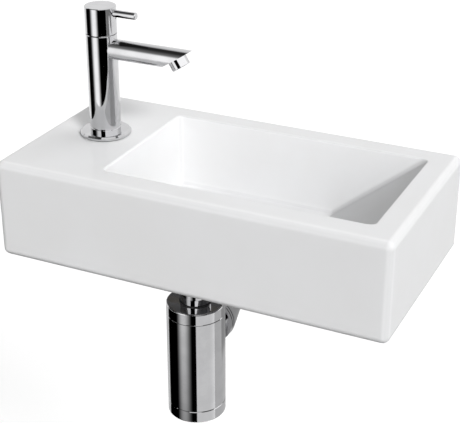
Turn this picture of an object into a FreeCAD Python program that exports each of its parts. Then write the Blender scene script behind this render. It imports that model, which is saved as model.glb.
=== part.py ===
import FreeCAD, Part
import os
import re
import Sketcher

# A small wall-hung hand basin with a pillar tap on its left deck and a bottle trap below.
# The wall is the plane Y = 0, the front faces -Y, +X is to the right and +Z is up.
# The origin is the middle of the two wall-fixing holes in the basin's back.
# Heights in the formulas below are measured from the rim of the basin, and every piece is
# lifted by rim_above_fixing when it is placed.

# Driving dimensions, in millimetres, degrees and counts
SIZES = {
    # basin casting
    "basin_width": 400,
    "basin_depth": 205,
    "basin_height": 100,
    "rim_above_fixing": 65,
    "edge_round": 7,
    "back_round": 2,
    "foot_round": 1.5,
    "deck_width": 104,
    "rim_right": 26,
    "rim_front": 28,
    "rim_back": 22,
    "bowl_depth": 77,
    "ramp_run": 96,
    "bowl_round": 5,
    "lip_round": 2,
    "skirt_wall": 10,
    "back_wall": 12,
    "deck_wall": 12,
    "bowl_wall": 10,
    "floor_wall": 12,
    "hollow_round": 8,
    "fixing_spacing": 280,
    "fixing_hole": 14,
    # places of the tap and of the drain on the casting
    "tap_from_left": 59.5,
    "tap_from_back": 96,
    "tap_hole": 35,
    "drain_from_left": 160.5,
    "drain_from_back": 100,
    "drain_hole": 45,
    "drain_seat": 66,
    "drain_seat_depth": 3,
    "drain_fall": 2,
    "drain_dish": 100,
    # clearances
    "fit_clearance": 0.05,
    "running_clearance": 0.06,
    "free_clearance": 0.3,
    "seam_bevel": 0.5,
    # waste
    "strainer_diameter": 63,
    "strainer_edge": 2,
    "strainer_sink": 5,
    "strainer_plate": 2,
    "strainer_hole": 8,
    "strainer_hole_circle": 24,
    "strainer_hole_count": 6,
    "strainer_seal": 1.5,
    "waste_thread": 41.9,
    "tail_flange": 60,
    "tail_flange_edge": 3,
    "tail_seal": 3,
    "tail_bore": 35,
    "tail_length": 29,
    "spider_depth": 10,
    "spider_height": 6,
    "spider_arm": 5,
    "spider_boss": 12,
    "waste_screw": 6,
    "waste_screw_head": 12,
    "waste_screw_head_height": 2.5,
    "waste_screw_slot": 1.6,
    "waste_screw_end": 2,
    # coupling between the waste and the trap
    "tube_diameter": 32,
    "tube_wall": 1,
    "tube_collar": 2,
    "coupling_washer": 2,
    "coupling_grip": 12,
    "coupling_lip": 3,
    "coupling_across": 47,
    # bottle trap
    "trap_below_rim": 167,
    "trap_height": 132.5,
    "trap_diameter": 61.5,
    "trap_wall": 2.5,
    "trap_round": 1.5,
    "trap_cap_height": 13,
    "trap_cap_plate": 3,
    "trap_neck_plate": 3,
    "gland_flange": 42,
    "gland_flange_edge": 2,
    "gland_neck": 34.4,
    "gland_proud": 0.8,
    "cup_height": 13.5,
    "cup_plate": 2,
    "cup_seal": 2,
    "cup_seal_bore": 44,
    "cup_gap": 0.3,
    "dip_gap": 22,
    "outlet_drop": 42,
    "outlet_spigot": 37,
    "outlet_spigot_length": 20,
    "outlet_pipe_depth": 14,
    "outlet_seal": 3,
    "outlet_nut_diameter": 50,
    "outlet_nut_end": 36,
    "outlet_nut_grip": 18,
    "outlet_nut_lip": 16,
    "outlet_nut_band": 2.5,
    "outlet_nut_groove": 1.2,
    "pipe_past_wall": 30,
    "pipe_mark": 1.2,
    "pipe_mark_depth": 0.4,
    # tap body
    "tap_height": 132,
    "column_diameter": 31,
    "cap_height": 27,
    "cap_gap": 0.4,
    "base_gasket": 1,
    "base_gasket_diameter": 48.5,
    "flange_diameter": 51,
    "flange_edge": 3.5,
    "flange_bevel": 1.5,
    "flange_hub": 4,
    "flange_hub_diameter": 30.4,
    "hub_bevel": 0.8,
    "shank_thread": 20.9,
    "shank_bore": 12,
    "shank_below_rim": 62,
    "shank_socket": 12,
    "shank_relief": 2,
    "shank_relief_depth": 0.8,
    "shank_relief_drop": 2,
    "clamp_washer_diameter": 44,
    "clamp_rubber": 3,
    "clamp_plate": 2,
    "lock_nut_across": 30,
    "lock_nut_height": 10,
    "spout_below_top": 42,
    "spout_reach": 82.5,
    "spout_diameter": 20,
    "spout_bore": 11,
    "spout_cut_angle": 32.5,
    # valve inside the column
    "valve_below_top": 50,
    "valve_chamber": 22,
    "seat_seal": 2,
    "seat_seal_diameter": 16.8,
    "disc_diameter": 15.2,
    "disc_thickness": 3,
    "disc_window": 5,
    "disc_hub": 1.5,
    "disc_gap": 0.05,
    "cage_wall": 1.1,
    "cage_window": 7,
    "cage_window_height": 5,
    "headwork_head": 25,
    "headwork_head_height": 4.5,
    "headwork_neck": 14,
    "headwork_neck_height": 4,
    "headwork_thread_length": 9,
    "spindle_diameter": 8,
    "spindle_foot": 14.6,
    "spindle_foot_height": 3.8,
    "spindle_below_top": 11,
    "spindle_seal": 1.5,
    "spindle_seal_depth": 1,
    "spindle_seal_drop": 5,
    # handle
    "cap_shell": 2,
    "lever_diameter": 7,
    "lever_below_top": 6,
    "lever_reach": 39.5,
    "lever_seat": 5,
    "lever_bevel": 0.6,
    "grub_diameter": 4,
    "grub_below_top": 15,
    "grub_sunk": 2,
    # aerator
    "aerator_diameter": 18.8,
    "aerator_length": 9,
    "aerator_socket": 14,
    "aerator_socket_depth": 4.5,
    "aerator_washer": 1,
    "aerator_throat": 12,
    "aerator_insert": 13.4,
    "aerator_insert_height": 6,
    "aerator_insert_sunk": 0.8,
    "aerator_cell": 2,
    "aerator_inner_circle": 6,
    "aerator_inner_count": 6,
    "aerator_outer_circle": 10.4,
    "aerator_outer_count": 12,
}

# Places that follow from the driving dimensions
PLACES = {
    # basin, measured from the wall, the middle and the rim
    "left_side": "-basin_width / 2",
    "right_side": "basin_width / 2",
    "front_side": "-basin_depth",
    "underside": "-basin_height",
    "bowl_left": "left_side + deck_width",
    "bowl_right": "right_side - rim_right",
    "bowl_front": "front_side + rim_front",
    "bowl_back": "-rim_back",
    "bowl_floor": "-bowl_depth",
    "floor_under": "bowl_floor - floor_wall",
    "ramp_slope": "bowl_depth / ramp_run",
    "ramp_foot": "bowl_right - ramp_run",
    "ramp_shell": "bowl_wall * sqrt(1 + ramp_slope ^ 2)",
    "ramp_under_foot": "bowl_right - (bowl_depth + floor_wall - ramp_shell) / ramp_slope",
    "ramp_under_top": "bowl_right - (deck_wall / 2 - ramp_shell) / ramp_slope",
    "tap_x": "left_side + tap_from_left",
    "tap_y": "-tap_from_back",
    "drain_x": "left_side + drain_from_left",
    "drain_y": "-drain_from_back",
    # waste
    "seat": "bowl_floor - drain_fall - drain_seat_depth",
    "strainer_under": "seat + strainer_seal",
    "strainer_top": "strainer_under + strainer_edge",
    "plate_top": "strainer_top - strainer_sink",
    "plate_under": "plate_top - strainer_plate",
    "throat": "waste_thread / 2",
    "tail_top": "floor_under - tail_seal",
    "tail_end": "tail_top - tail_length",
    "spider_top": "tail_top - spider_depth",
    "spider_under": "spider_top - spider_height",
    # coupling and inlet tube
    "collar_top": "tail_end - coupling_washer",
    "collar_under": "collar_top - tube_collar",
    "coupling_top": "tail_end + coupling_grip",
    "coupling_under": "collar_under - coupling_lip",
    "tube": "tube_diameter / 2",
    "collar": "throat - free_clearance",
    # bottle trap
    "trap_top": "-trap_below_rim",
    "trap_end": "trap_top - trap_height",
    "trap": "trap_diameter / 2",
    "trap_inside": "trap - trap_wall",
    "neck": "trap - trap_wall - free_clearance",
    "neck_inside": "neck - trap_wall",
    "cap_seam": "trap_top - trap_cap_height",
    "gland_top": "trap_top - trap_cap_plate",
    "gland_seat": "gland_top - gland_flange_edge",
    "neck_under": "gland_seat - trap_neck_plate",
    "cup_top": "trap_end + cup_height",
    "cup_floor": "trap_end + cup_plate",
    "cup_shoulder": "cup_top + cup_gap",
    "neck_end": "cup_floor + cup_seal + running_clearance",
    "neck_taper": "trap_inside - neck_inside",
    "dip_end": "cup_floor + dip_gap",
    "outlet_z": "trap_top - outlet_drop",
    "spigot_end": "trap + outlet_spigot_length",
    "pipe_start": "spigot_end - outlet_pipe_depth",
    "pipe_end": "drain_from_back + pipe_past_wall",
    "nut_start": "spigot_end - outlet_nut_grip",
    "nut_lip_start": "spigot_end + outlet_seal",
    "nut_end": "nut_lip_start + outlet_nut_lip",
    "outlet_nut": "outlet_nut_diameter / 2",
    # tap
    "column": "column_diameter / 2",
    "flange_top": "base_gasket + flange_edge",
    "column_base": "flange_top + flange_hub",
    "cap_base": "tap_height - cap_height",
    "column_top": "cap_base - cap_gap",
    "shank": "shank_thread / 2",
    "shank_top": "column_base + shank_socket",
    "clamp_top": "-deck_wall",
    "clamp_middle": "clamp_top - clamp_rubber",
    "clamp_under": "clamp_middle - clamp_plate",
    "lock_nut_under": "clamp_under - lock_nut_height",
    "relief_top": "lock_nut_under - shank_relief_drop",
    "relief_under": "relief_top - shank_relief",
    "spout_height": "tap_height - spout_below_top",
    "spout": "spout_diameter / 2",
    "spout_cut": "spout_diameter / sin(spout_cut_angle)",
    # valve
    "valve_seat": "tap_height - valve_below_top",
    "disc_floor": "valve_seat + seat_seal",
    "disc_joint": "disc_floor + disc_thickness",
    "foot_floor": "disc_joint + disc_gap + disc_thickness",
    "foot_top": "foot_floor + spindle_foot_height",
    "cage_bore": "disc_diameter / 2 + running_clearance",
    "cage": "cage_bore + cage_wall",
    "cage_top": "foot_top + running_clearance",
    "headwork_head_top": "column_top + headwork_head_height",
    "headwork_top": "headwork_head_top + headwork_neck_height",
    "headwork_thread": "valve_chamber / 2 - fit_clearance",
    "spindle": "spindle_diameter / 2",
    "spindle_bore": "spindle + running_clearance",
    "spindle_top": "tap_height - spindle_below_top",
    "spindle_seal_top": "headwork_top - spindle_seal_drop",
    "cavity_top": "headwork_head_top + cap_shell",
    "neck_hole": "headwork_neck / 2 + cap_gap",
    "socket_floor": "headwork_top + cap_gap",
    "socket": "spindle + fit_clearance",
    "lever_z": "tap_height - lever_below_top",
    "grub_z": "tap_height - grub_below_top",
    # aerator, along its own axis from the slanted end of the spout
    "aerator_end": "-aerator_length",
    "aerator_neck": "aerator_socket / 2 - fit_clearance",
    "aerator_neck_top": "aerator_socket_depth - aerator_washer",
    "insert": "aerator_insert / 2",
    "insert_floor": "aerator_end + aerator_insert_sunk",
    "insert_top": "insert_floor + aerator_insert_height",
}

CIRCLE = 360
HEX_SIDES = 6

doc = FreeCAD.newDocument("hand_basin")


def make_sheet():
    """Write every driving dimension into a sheet, each in a cell with its own alias."""
    sheet = doc.addObject("Spreadsheet::Sheet", "sizes")
    for row, (name, number) in enumerate(SIZES.items(), start=1):
        sheet.set("A%d" % row, name)
        sheet.set("B%d" % row, str(number))
        sheet.setAlias("B%d" % row, name)
    doc.recompute()
    return sheet


def formula(text):
    """Spell a formula of named sizes and places out in cells of the sheet."""
    def spelled(match):
        word = match.group(0)
        if word in PLACES:
            return "(" + formula(PLACES[word]) + ")"
        if word in SIZES:
            return "sizes." + word
        return word
    return re.sub(r"[a-z]\w*", spelled, text)


def value(text):
    """Work a formula out as a number."""
    return float(sizes.evalExpression(formula(text)))


def body_at(label, x="0", y="0", z="0"):
    """Start a piece whose own origin lies at the given place, with heights from the rim."""
    body = doc.addObject("PartDesign::Body", label)
    body.Label = label
    body.setExpression("Placement.Base.x", formula(x))
    body.setExpression("Placement.Base.y", formula(y))
    body.setExpression("Placement.Base.z", formula("rim_above_fixing + " + z))
    return body


def tap_body(label, z="0"):
    """Start a piece on the tap's upright axis."""
    return body_at(label, "tap_x", "tap_y", z)


def drain_body(label, z="0"):
    """Start a piece on the upright axis of the drain and the trap."""
    return body_at(label, "drain_x", "drain_y", z)


def nozzle_body(label):
    """Start a piece on the aerator's axis, square to the slanted end of the spout."""
    body = body_at(label, "tap_x + spout_reach", "tap_y", "spout_height")
    tilt = FreeCAD.Rotation(FreeCAD.Vector(0, 1, 0), -value("spout_cut_angle"))
    body.Placement = FreeCAD.Placement(body.Placement.Base, tilt)
    body.setExpression("Placement.Rotation.Angle", formula("-spout_cut_angle"))
    return body


def sketch_on(body, role, shift=("0", "0"), lift="0", turn="0"):
    """Start a sketch on an origin plane of the body, moved in that plane, lifted off it and turned."""
    plane = [item for item in body.Origin.OriginFeatures if item.Role == role][0]
    sketch = body.newObject("Sketcher::SketchObject", body.Name + "_sketch")
    sketch.AttachmentSupport = [(plane, "")]
    sketch.MapMode = "FlatFace"
    upright = FreeCAD.Rotation(FreeCAD.Vector(0, 0, 1), value(turn))
    sketch.AttachmentOffset = FreeCAD.Placement(FreeCAD.Vector(), upright)
    sketch.setExpression("AttachmentOffset.Base.x", formula(shift[0]))
    sketch.setExpression("AttachmentOffset.Base.y", formula(shift[1]))
    sketch.setExpression("AttachmentOffset.Base.z", formula(lift))
    if turn != "0":
        sketch.setExpression("AttachmentOffset.Rotation.Angle", formula(turn))
    return sketch


def bind(sketch, constraint, text):
    """Add a constraint to a sketch and tie its size to a formula."""
    index = sketch.addConstraint(constraint)
    sketch.setExpression("Constraints[%d]" % index, formula(text))


def pin_point(sketch, edge, end, u, v):
    """Fix one end of an edge at the formulas u and v, measured from the sketch's origin."""
    bind(sketch, Sketcher.Constraint("DistanceX", -1, 1, edge, end, value(u)), u)
    bind(sketch, Sketcher.Constraint("DistanceY", -1, 1, edge, end, value(v)), v)


def draw_outline(sketch, points):
    """Draw a closed outline of straight edges through points given as pairs of formulas."""
    corners = [FreeCAD.Vector(value(u), value(v), 0) for u, v in points]
    first = sketch.GeometryCount
    count = len(corners)
    for number, corner in enumerate(corners):
        sketch.addGeometry(Part.LineSegment(corner, corners[(number + 1) % count]), False)
    for number in range(count):
        following = first + (number + 1) % count
        sketch.addConstraint(Sketcher.Constraint("Coincident", first + number, 2, following, 1))
    for number, (u, v) in enumerate(points):
        pin_point(sketch, first + number, 1, u, v)
    return sketch


def draw_circle(sketch, u, v, diameter):
    """Draw a circle round the point (u, v)."""
    middle = FreeCAD.Vector(value(u), value(v), 0)
    round_edge = Part.Circle(middle, FreeCAD.Vector(0, 0, 1), value(diameter) / 2)
    edge = sketch.addGeometry(round_edge, False)
    bind(sketch, Sketcher.Constraint("Diameter", edge, value(diameter)), diameter)
    pin_point(sketch, edge, 3, u, v)
    return sketch


def draw_block(sketch, left, low, right, high):
    """Draw a rectangle between two corners."""
    return draw_outline(sketch, [(left, low), (right, low), (right, high), (left, high)])


def draw_hexagon(sketch, across):
    """Draw a regular hexagon of the given width across its flats, round the sketch's origin."""
    corner = across + " / 2 / cos(30)"
    turns = [CIRCLE * side / HEX_SIDES for side in range(HEX_SIDES)]
    points = [("%s * cos(%g)" % (corner, turn), "%s * sin(%g)" % (corner, turn)) for turn in turns]
    return draw_outline(sketch, points)


def add_feature(body, kind, sketch):
    """Add a feature of the named kind that works on a sketch."""
    feature = body.newObject("PartDesign::" + kind, body.Name + "_" + kind.lower())
    feature.Profile = sketch
    sketch.Visibility = False
    return feature


def removed_something(feature):
    """Make sure that a cutting feature took material away."""
    doc.recompute()
    if feature.Shape.Volume >= feature.BaseFeature.Shape.Volume - 1e-3:
        raise RuntimeError(feature.Name + " cuts nothing")
    return feature


def pad(body, sketch, length, backwards=False):
    """Raise a sketch along its normal, or the other way."""
    feature = add_feature(body, "Pad", sketch)
    feature.setExpression("Length", formula(length))
    feature.Reversed = backwards
    doc.recompute()
    return feature


def pocket(body, sketch, length, along_normal=False, both_ways=False):
    """Cut a sketch into the body against the sketch's normal, along it, or half each way."""
    feature = add_feature(body, "Pocket", sketch)
    feature.setExpression("Length", formula(length))
    feature.Reversed = along_normal
    feature.Midplane = both_ways
    return removed_something(feature)


def revolve(body, sketch, axis="V_Axis"):
    """Turn a sketch a full circle round one of its own axes."""
    feature = add_feature(body, "Revolution", sketch)
    feature.ReferenceAxis = (sketch, [axis])
    feature.Angle = CIRCLE
    doc.recompute()
    return feature


def groove(body, sketch, axis="V_Axis"):
    """Cut the body with a sketch turned a full circle round one of its own axes."""
    feature = add_feature(body, "Groove", sketch)
    feature.ReferenceAxis = (sketch, [axis])
    feature.Angle = CIRCLE
    return removed_something(feature)


def repeat_round(body, feature, sketch, count):
    """Repeat a cut evenly round the normal of its sketch plane."""
    pattern = body.newObject("PartDesign::PolarPattern", body.Name + "_pattern")
    pattern.Originals = [feature]
    pattern.Axis = (sketch, ["N_Axis"])
    pattern.Angle = CIRCLE
    pattern.setExpression("Occurrences", formula(count))
    body.Tip = pattern
    doc.recompute()
    return pattern


def round_edges(body, feature, radius, chosen):
    """Round those edges of a feature for which the test named chosen holds."""
    names = []
    for number, edge in enumerate(feature.Shape.Edges, start=1):
        if chosen(edge.BoundBox):
            names.append("Edge%d" % number)
    fillet = body.newObject("PartDesign::Fillet", body.Name + "_fillet")
    fillet.Base = (feature, names)
    fillet.setExpression("Radius", formula(radius))
    doc.recompute()
    return fillet


def turned(body, points):
    """Make a piece turned round the upright axis, from points of radius and height."""
    return revolve(body, draw_outline(sketch_on(body, "XZ_Plane"), points))


def turned_along_y(body, points):
    """Make a piece turned round its Y axis, from points of radius and distance along Y."""
    return revolve(body, draw_outline(sketch_on(body, "XY_Plane"), points))


def turned_along_x(body, points):
    """Make a piece turned round its X axis, from points of distance along X and radius."""
    return revolve(body, draw_outline(sketch_on(body, "XZ_Plane"), points), "H_Axis")


def ring(body, bore, outside, low, high):
    """Make a flat ring round the upright axis, from its two radii and two heights."""
    return turned(body, [(bore, low), (outside, low), (outside, high), (bore, high)])


def make_basin():
    """The casting: a box with soft edges, hollow underneath, with the bowl let into it."""
    body = body_at("basin")
    slab = draw_block(sketch_on(body, "XY_Plane", lift="underside"),
                      "left_side", "front_side", "right_side", "0")
    block = pad(body, slab, "basin_height")
    soft_block = round_edges(body, block, "edge_round",
                             lambda box: box.Center.y < -value("edge_round") / 2)
    round_edges(body, soft_block, "back_round", lambda box: box.YMin > -value("back_round") / 2)

    hollow = draw_block(sketch_on(body, "XY_Plane", lift="underside"),
                        "left_side + skirt_wall", "front_side + skirt_wall",
                        "right_side - skirt_wall", "-back_wall")
    hollow_cut = pocket(body, hollow, "basin_height - deck_wall", along_normal=True)
    inner_reach = value("basin_height - deck_wall")
    soft_hollow = round_edges(body, hollow_cut, "hollow_round",
                              lambda box: is_hollow_corner(box, inner_reach))
    round_edges(body, soft_hollow, "foot_round", is_hollow_mouth)

    shell = draw_outline(sketch_on(body, "XZ_Plane", lift="back_wall / 2"), [
        ("bowl_left - bowl_wall", "-deck_wall / 2"),
        ("bowl_left - bowl_wall", "floor_under"),
        ("ramp_under_foot", "floor_under"),
        ("ramp_under_top", "-deck_wall / 2"),
    ])
    pad(body, shell, "basin_depth - back_wall / 2 - skirt_wall / 2")

    bowl = draw_outline(sketch_on(body, "XZ_Plane", lift="-bowl_front"), [
        ("bowl_left", "deck_wall"),
        ("bowl_left", "bowl_floor"),
        ("ramp_foot", "bowl_floor"),
        ("bowl_right + deck_wall / ramp_slope", "deck_wall"),
    ])
    bowl_cut = pocket(body, bowl, "bowl_back - bowl_front")
    bowl_soft = round_edges(body, bowl_cut, "bowl_round", is_inside_bowl)
    round_edges(body, bowl_soft, "lip_round", is_bowl_lip)

    drain = draw_outline(sketch_on(body, "XZ_Plane", ("drain_x", "0"), "-drain_y"), [
        ("0", "bowl_floor"),
        ("drain_dish / 2", "bowl_floor"),
        ("drain_seat / 2", "bowl_floor - drain_fall"),
        ("drain_seat / 2", "seat"),
        ("drain_hole / 2", "seat"),
        ("drain_hole / 2", "floor_under - floor_wall"),
        ("0", "floor_under - floor_wall"),
    ])
    groove(body, drain)

    tap_opening = draw_circle(sketch_on(body, "XY_Plane"), "tap_x", "tap_y", "tap_hole")
    pocket(body, tap_opening, "deck_wall * 2")

    fixings = sketch_on(body, "XZ_Plane")
    draw_circle(fixings, "-fixing_spacing / 2", "-rim_above_fixing", "fixing_hole")
    draw_circle(fixings, "fixing_spacing / 2", "-rim_above_fixing", "fixing_hole")
    pocket(body, fixings, "back_wall * 1.5", along_normal=True)
    return body


def is_hollow_corner(box, reach):
    """Tell whether an edge is one of the upright corners of the hollow under the basin."""
    slim = value("edge_round") / 2
    upright = box.XLength < slim and box.YLength < slim
    return upright and abs(box.ZLength - reach) < slim


def is_hollow_mouth(box):
    """Tell whether an edge belongs to the lower mouth of the hollow, inside the casting's foot."""
    near = value("foot_round") / 2
    across = max(-box.XMin, box.XMax) < value("right_side - skirt_wall") + near
    along = box.YMin > value("front_side + skirt_wall") - near and box.YMax < near - value("back_wall")
    return across and along and box.ZMax < value("underside") + near


def is_over_bowl(box):
    """Tell whether an edge lies within the outline of the bowl's mouth."""
    near = value("lip_round") / 2
    across = box.XMin > value("bowl_left") - near and box.XMax < value("bowl_right") + near
    along = box.YMin > value("bowl_front") - near and box.YMax < value("bowl_back") + near
    return across and along


def is_inside_bowl(box):
    """Tell whether an edge is a corner between two inner faces of the bowl."""
    return is_over_bowl(box) and box.ZMin < -value("lip_round") and box.ZMax < value("lip_round")


def is_bowl_lip(box):
    """Tell whether an edge belongs to the mouth of the bowl, in the plane of the rim."""
    return is_over_bowl(box) and box.ZMin > -value("lip_round") / 2


def make_strainer():
    """The chrome flange in the bowl's floor, with a sunk plate of holes over the drain."""
    body = drain_body("strainer")
    turned(body, [
        ("waste_screw / 2 + fit_clearance", "plate_under"),
        ("throat", "plate_under"),
        ("throat", "strainer_under"),
        ("strainer_diameter / 2", "strainer_under"),
        ("strainer_diameter / 2", "strainer_under + strainer_edge / 4"),
        ("strainer_diameter / 2 - strainer_edge", "strainer_top"),
        ("throat - seam_bevel", "strainer_top"),
        ("throat - strainer_plate", "plate_top"),
        ("waste_screw / 2 + fit_clearance", "plate_top"),
    ])
    hole = draw_circle(sketch_on(body, "XY_Plane", lift="plate_top"),
                       "strainer_hole_circle / 2", "0", "strainer_hole")
    cut = pocket(body, hole, "strainer_plate * 2")
    repeat_round(body, cut, hole, "strainer_hole_count")
    return body


def make_waste_screw():
    """The slotted screw that pulls the strainer and the tail together."""
    body = drain_body("waste_screw")
    turned(body, [
        ("0", "spider_under - waste_screw_end"),
        ("waste_screw / 2", "spider_under - waste_screw_end"),
        ("waste_screw / 2", "plate_top"),
        ("waste_screw_head / 2", "plate_top"),
        ("waste_screw_head / 2", "plate_top + waste_screw_head_height"),
        ("0", "plate_top + waste_screw_head_height"),
    ])
    slot = draw_block(sketch_on(body, "XY_Plane", lift="plate_top + waste_screw_head_height"),
                      "-waste_screw_head", "-waste_screw_slot / 2",
                      "waste_screw_head", "waste_screw_slot / 2")
    pocket(body, slot, "waste_screw_head_height / 2")
    return body


def make_waste_tail():
    """The threaded tail under the basin, with a spider that takes the centre screw."""
    body = drain_body("waste_tail")
    turned(body, [
        ("tail_bore / 2", "tail_end"),
        ("throat", "tail_end"),
        ("throat", "tail_top - tail_flange_edge"),
        ("tail_flange / 2", "tail_top - tail_flange_edge"),
        ("tail_flange / 2", "tail_top"),
        ("throat - tail_flange_edge / 4", "tail_top"),
        ("tail_bore / 2", "tail_top - tail_flange_edge"),
    ])
    reach = "(tail_bore / 2 + throat) / 2"
    for long_way in (True, False):
        arm = sketch_on(body, "XY_Plane", lift="spider_under")
        half = "spider_arm / 2"
        span, width = (reach, half) if long_way else (half, reach)
        draw_block(arm, "-(%s)" % span, "-(%s)" % width, span, width)
        pad(body, arm, "spider_height")
    boss = draw_circle(sketch_on(body, "XY_Plane", lift="spider_under"), "0", "0", "spider_boss")
    pad(body, boss, "spider_height")
    thread = draw_circle(sketch_on(body, "XY_Plane", lift="spider_top"),
                         "0", "0", "waste_screw + 2 * fit_clearance")
    pocket(body, thread, "spider_height * 2")
    return body


def hex_nut(body, across, low, high, bore):
    """A hexagon nut with its corners turned off at both ends, and a plain bore."""
    height = "(%s) - (%s)" % (high, low)
    pad(body, draw_hexagon(sketch_on(body, "XY_Plane", lift=low), across), height)
    corner = across + " / 2 / cos(30)"
    flat = across + " / 2"
    drop = "((%s) - (%s)) / 2" % (corner, flat)
    for end, inwards in ((low, "+"), (high, "-")):
        points = [
            (flat, end),
            (corner + " + free_clearance", end),
            (corner + " + free_clearance", "%s %s %s" % (end, inwards, drop)),
        ]
        groove(body, draw_outline(sketch_on(body, "XZ_Plane"), points))
    hole = draw_circle(sketch_on(body, "XY_Plane", lift=high), "0", "0", bore)
    pocket(body, hole, height)
    return body


def make_coupling_nut():
    """The hexagon nut that holds the trap's inlet tube against the tail."""
    body = drain_body("coupling_nut")
    hex_nut(body, "coupling_across", "coupling_under", "coupling_top",
            "tube_diameter + 2 * free_clearance")
    thread = draw_circle(sketch_on(body, "XY_Plane", lift="coupling_top"),
                         "0", "0", "waste_thread + 2 * fit_clearance")
    pocket(body, thread, "coupling_top - collar_under")
    return body


def make_inlet_tube():
    """The dip tube, which hangs by its collar and ends under water inside the trap."""
    body = drain_body("inlet_tube")
    turned(body, [
        ("tube - tube_wall", "dip_end"),
        ("tube", "dip_end"),
        ("tube", "collar_under"),
        ("collar", "collar_under"),
        ("collar", "collar_top"),
        ("tube - tube_wall", "collar_top"),
    ])
    return body


def make_tube_gland():
    """The dark sealing ring round the inlet tube, held down by the trap's cap."""
    body = drain_body("tube_gland")
    turned(body, [
        ("tube + fit_clearance", "gland_seat"),
        ("gland_flange / 2", "gland_seat"),
        ("gland_flange / 2", "gland_top"),
        ("gland_neck / 2", "gland_top"),
        ("gland_neck / 2", "trap_top + gland_proud"),
        ("tube + fit_clearance", "trap_top + gland_proud"),
    ])
    return body


def make_trap_cap():
    """The screwed cap with the polished flat top, in line with the trap body."""
    body = drain_body("trap_cap")
    cap = turned(body, [
        ("gland_neck / 2 + fit_clearance", "gland_top"),
        ("neck + fit_clearance", "gland_top"),
        ("neck + fit_clearance", "cap_seam"),
        ("trap - seam_bevel", "cap_seam"),
        ("trap", "cap_seam + seam_bevel"),
        ("trap", "trap_top"),
        ("gland_neck / 2 + fit_clearance", "trap_top"),
    ])
    near = value("seam_bevel") / 2
    top_edge = value("trap_diameter") - near
    round_edges(body, cap, "trap_round",
                lambda box: box.XLength > top_edge and box.ZMin > value("trap_top") - near)
    return body


def make_trap_body():
    """The bottle: a tube with a neck at each end and a side spigot for the wall pipe."""
    body = drain_body("trap_body")
    turned(body, [
        ("0", "neck_end"),
        ("neck", "neck_end"),
        ("neck", "cup_shoulder"),
        ("trap - seam_bevel", "cup_shoulder"),
        ("trap", "cup_shoulder + seam_bevel"),
        ("trap", "cap_seam - seam_bevel"),
        ("trap - seam_bevel", "cap_seam"),
        ("neck", "cap_seam"),
        ("neck", "gland_seat"),
        ("0", "gland_seat"),
    ])
    spigot = draw_circle(sketch_on(body, "XZ_Plane"), "0", "outlet_z", "outlet_spigot")
    pad(body, spigot, "spigot_end", backwards=True)
    inside = draw_outline(sketch_on(body, "XZ_Plane"), [
        ("0", "neck_end - trap_wall"),
        ("neck_inside", "neck_end - trap_wall"),
        ("neck_inside", "cup_shoulder + trap_wall"),
        ("trap_inside", "cup_shoulder + trap_wall + neck_taper"),
        ("trap_inside", "cap_seam - trap_wall - neck_taper"),
        ("neck_inside", "cap_seam - trap_wall"),
        ("neck_inside", "neck_under"),
        ("0", "neck_under"),
    ])
    groove(body, inside)
    tube_hole = draw_circle(sketch_on(body, "XY_Plane", lift="gland_seat"),
                            "0", "0", "tube_diameter + 2 * free_clearance")
    pocket(body, tube_hole, "trap_neck_plate * 2")
    waterway = draw_circle(sketch_on(body, "XZ_Plane"), "0", "outlet_z",
                           "tube_diameter - 2 * tube_wall")
    pocket(body, waterway, "spigot_end")
    socket = draw_circle(sketch_on(body, "XZ_Plane", lift="-spigot_end"), "0", "outlet_z",
                         "tube_diameter + 2 * fit_clearance")
    pocket(body, socket, "outlet_pipe_depth", along_normal=True)
    return body


def make_cleaning_cup():
    """The screwed cup that closes the bottom of the trap."""
    body = drain_body("cleaning_cup")
    cup = turned(body, [
        ("0", "trap_end"),
        ("trap", "trap_end"),
        ("trap", "cup_top - seam_bevel"),
        ("trap - seam_bevel", "cup_top"),
        ("neck + running_clearance", "cup_top"),
        ("neck + running_clearance", "cup_floor"),
        ("0", "cup_floor"),
    ])
    near = value("seam_bevel") / 2
    bottom_edge = value("trap_diameter") - near
    round_edges(body, cup, "trap_round",
                lambda box: box.XLength > bottom_edge and box.ZMax < value("trap_end") + near)
    return body


def make_outlet_nut():
    """The bell-shaped nut on the spigot, with two grooves next to the trap and a long taper to the pipe."""
    body = drain_body("outlet_nut", "outlet_z")
    points = [("outlet_spigot / 2 + fit_clearance", "nut_start")]
    pitch = "(outlet_nut_band + outlet_nut_groove)"
    for band in range(2):
        start = "nut_start + %d * %s" % (band, pitch)
        points.append(("outlet_nut", start))
        points.append(("outlet_nut", start + " + outlet_nut_band"))
        points.append(("outlet_nut - outlet_nut_groove", start + " + outlet_nut_band"))
        points.append(("outlet_nut - outlet_nut_groove", start + " + " + pitch))
    points += [
        ("outlet_nut", "nut_start + 2 * " + pitch),
        ("outlet_nut", "nut_start + 2 * %s + outlet_nut_band" % pitch),
        ("outlet_nut_end / 2", "nut_end"),
        ("tube + free_clearance", "nut_end"),
        ("tube + free_clearance", "nut_lip_start"),
        ("outlet_spigot / 2 + fit_clearance", "nut_lip_start"),
    ]
    turned_along_y(body, points)
    return body


def make_outlet_seal():
    """The ring that the outlet nut presses against the pipe."""
    body = drain_body("outlet_seal", "outlet_z")
    turned_along_y(body, [
        ("tube + fit_clearance", "spigot_end"),
        ("outlet_spigot / 2", "spigot_end"),
        ("outlet_spigot / 2", "nut_lip_start"),
        ("tube + fit_clearance", "nut_lip_start"),
    ])
    return body


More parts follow.
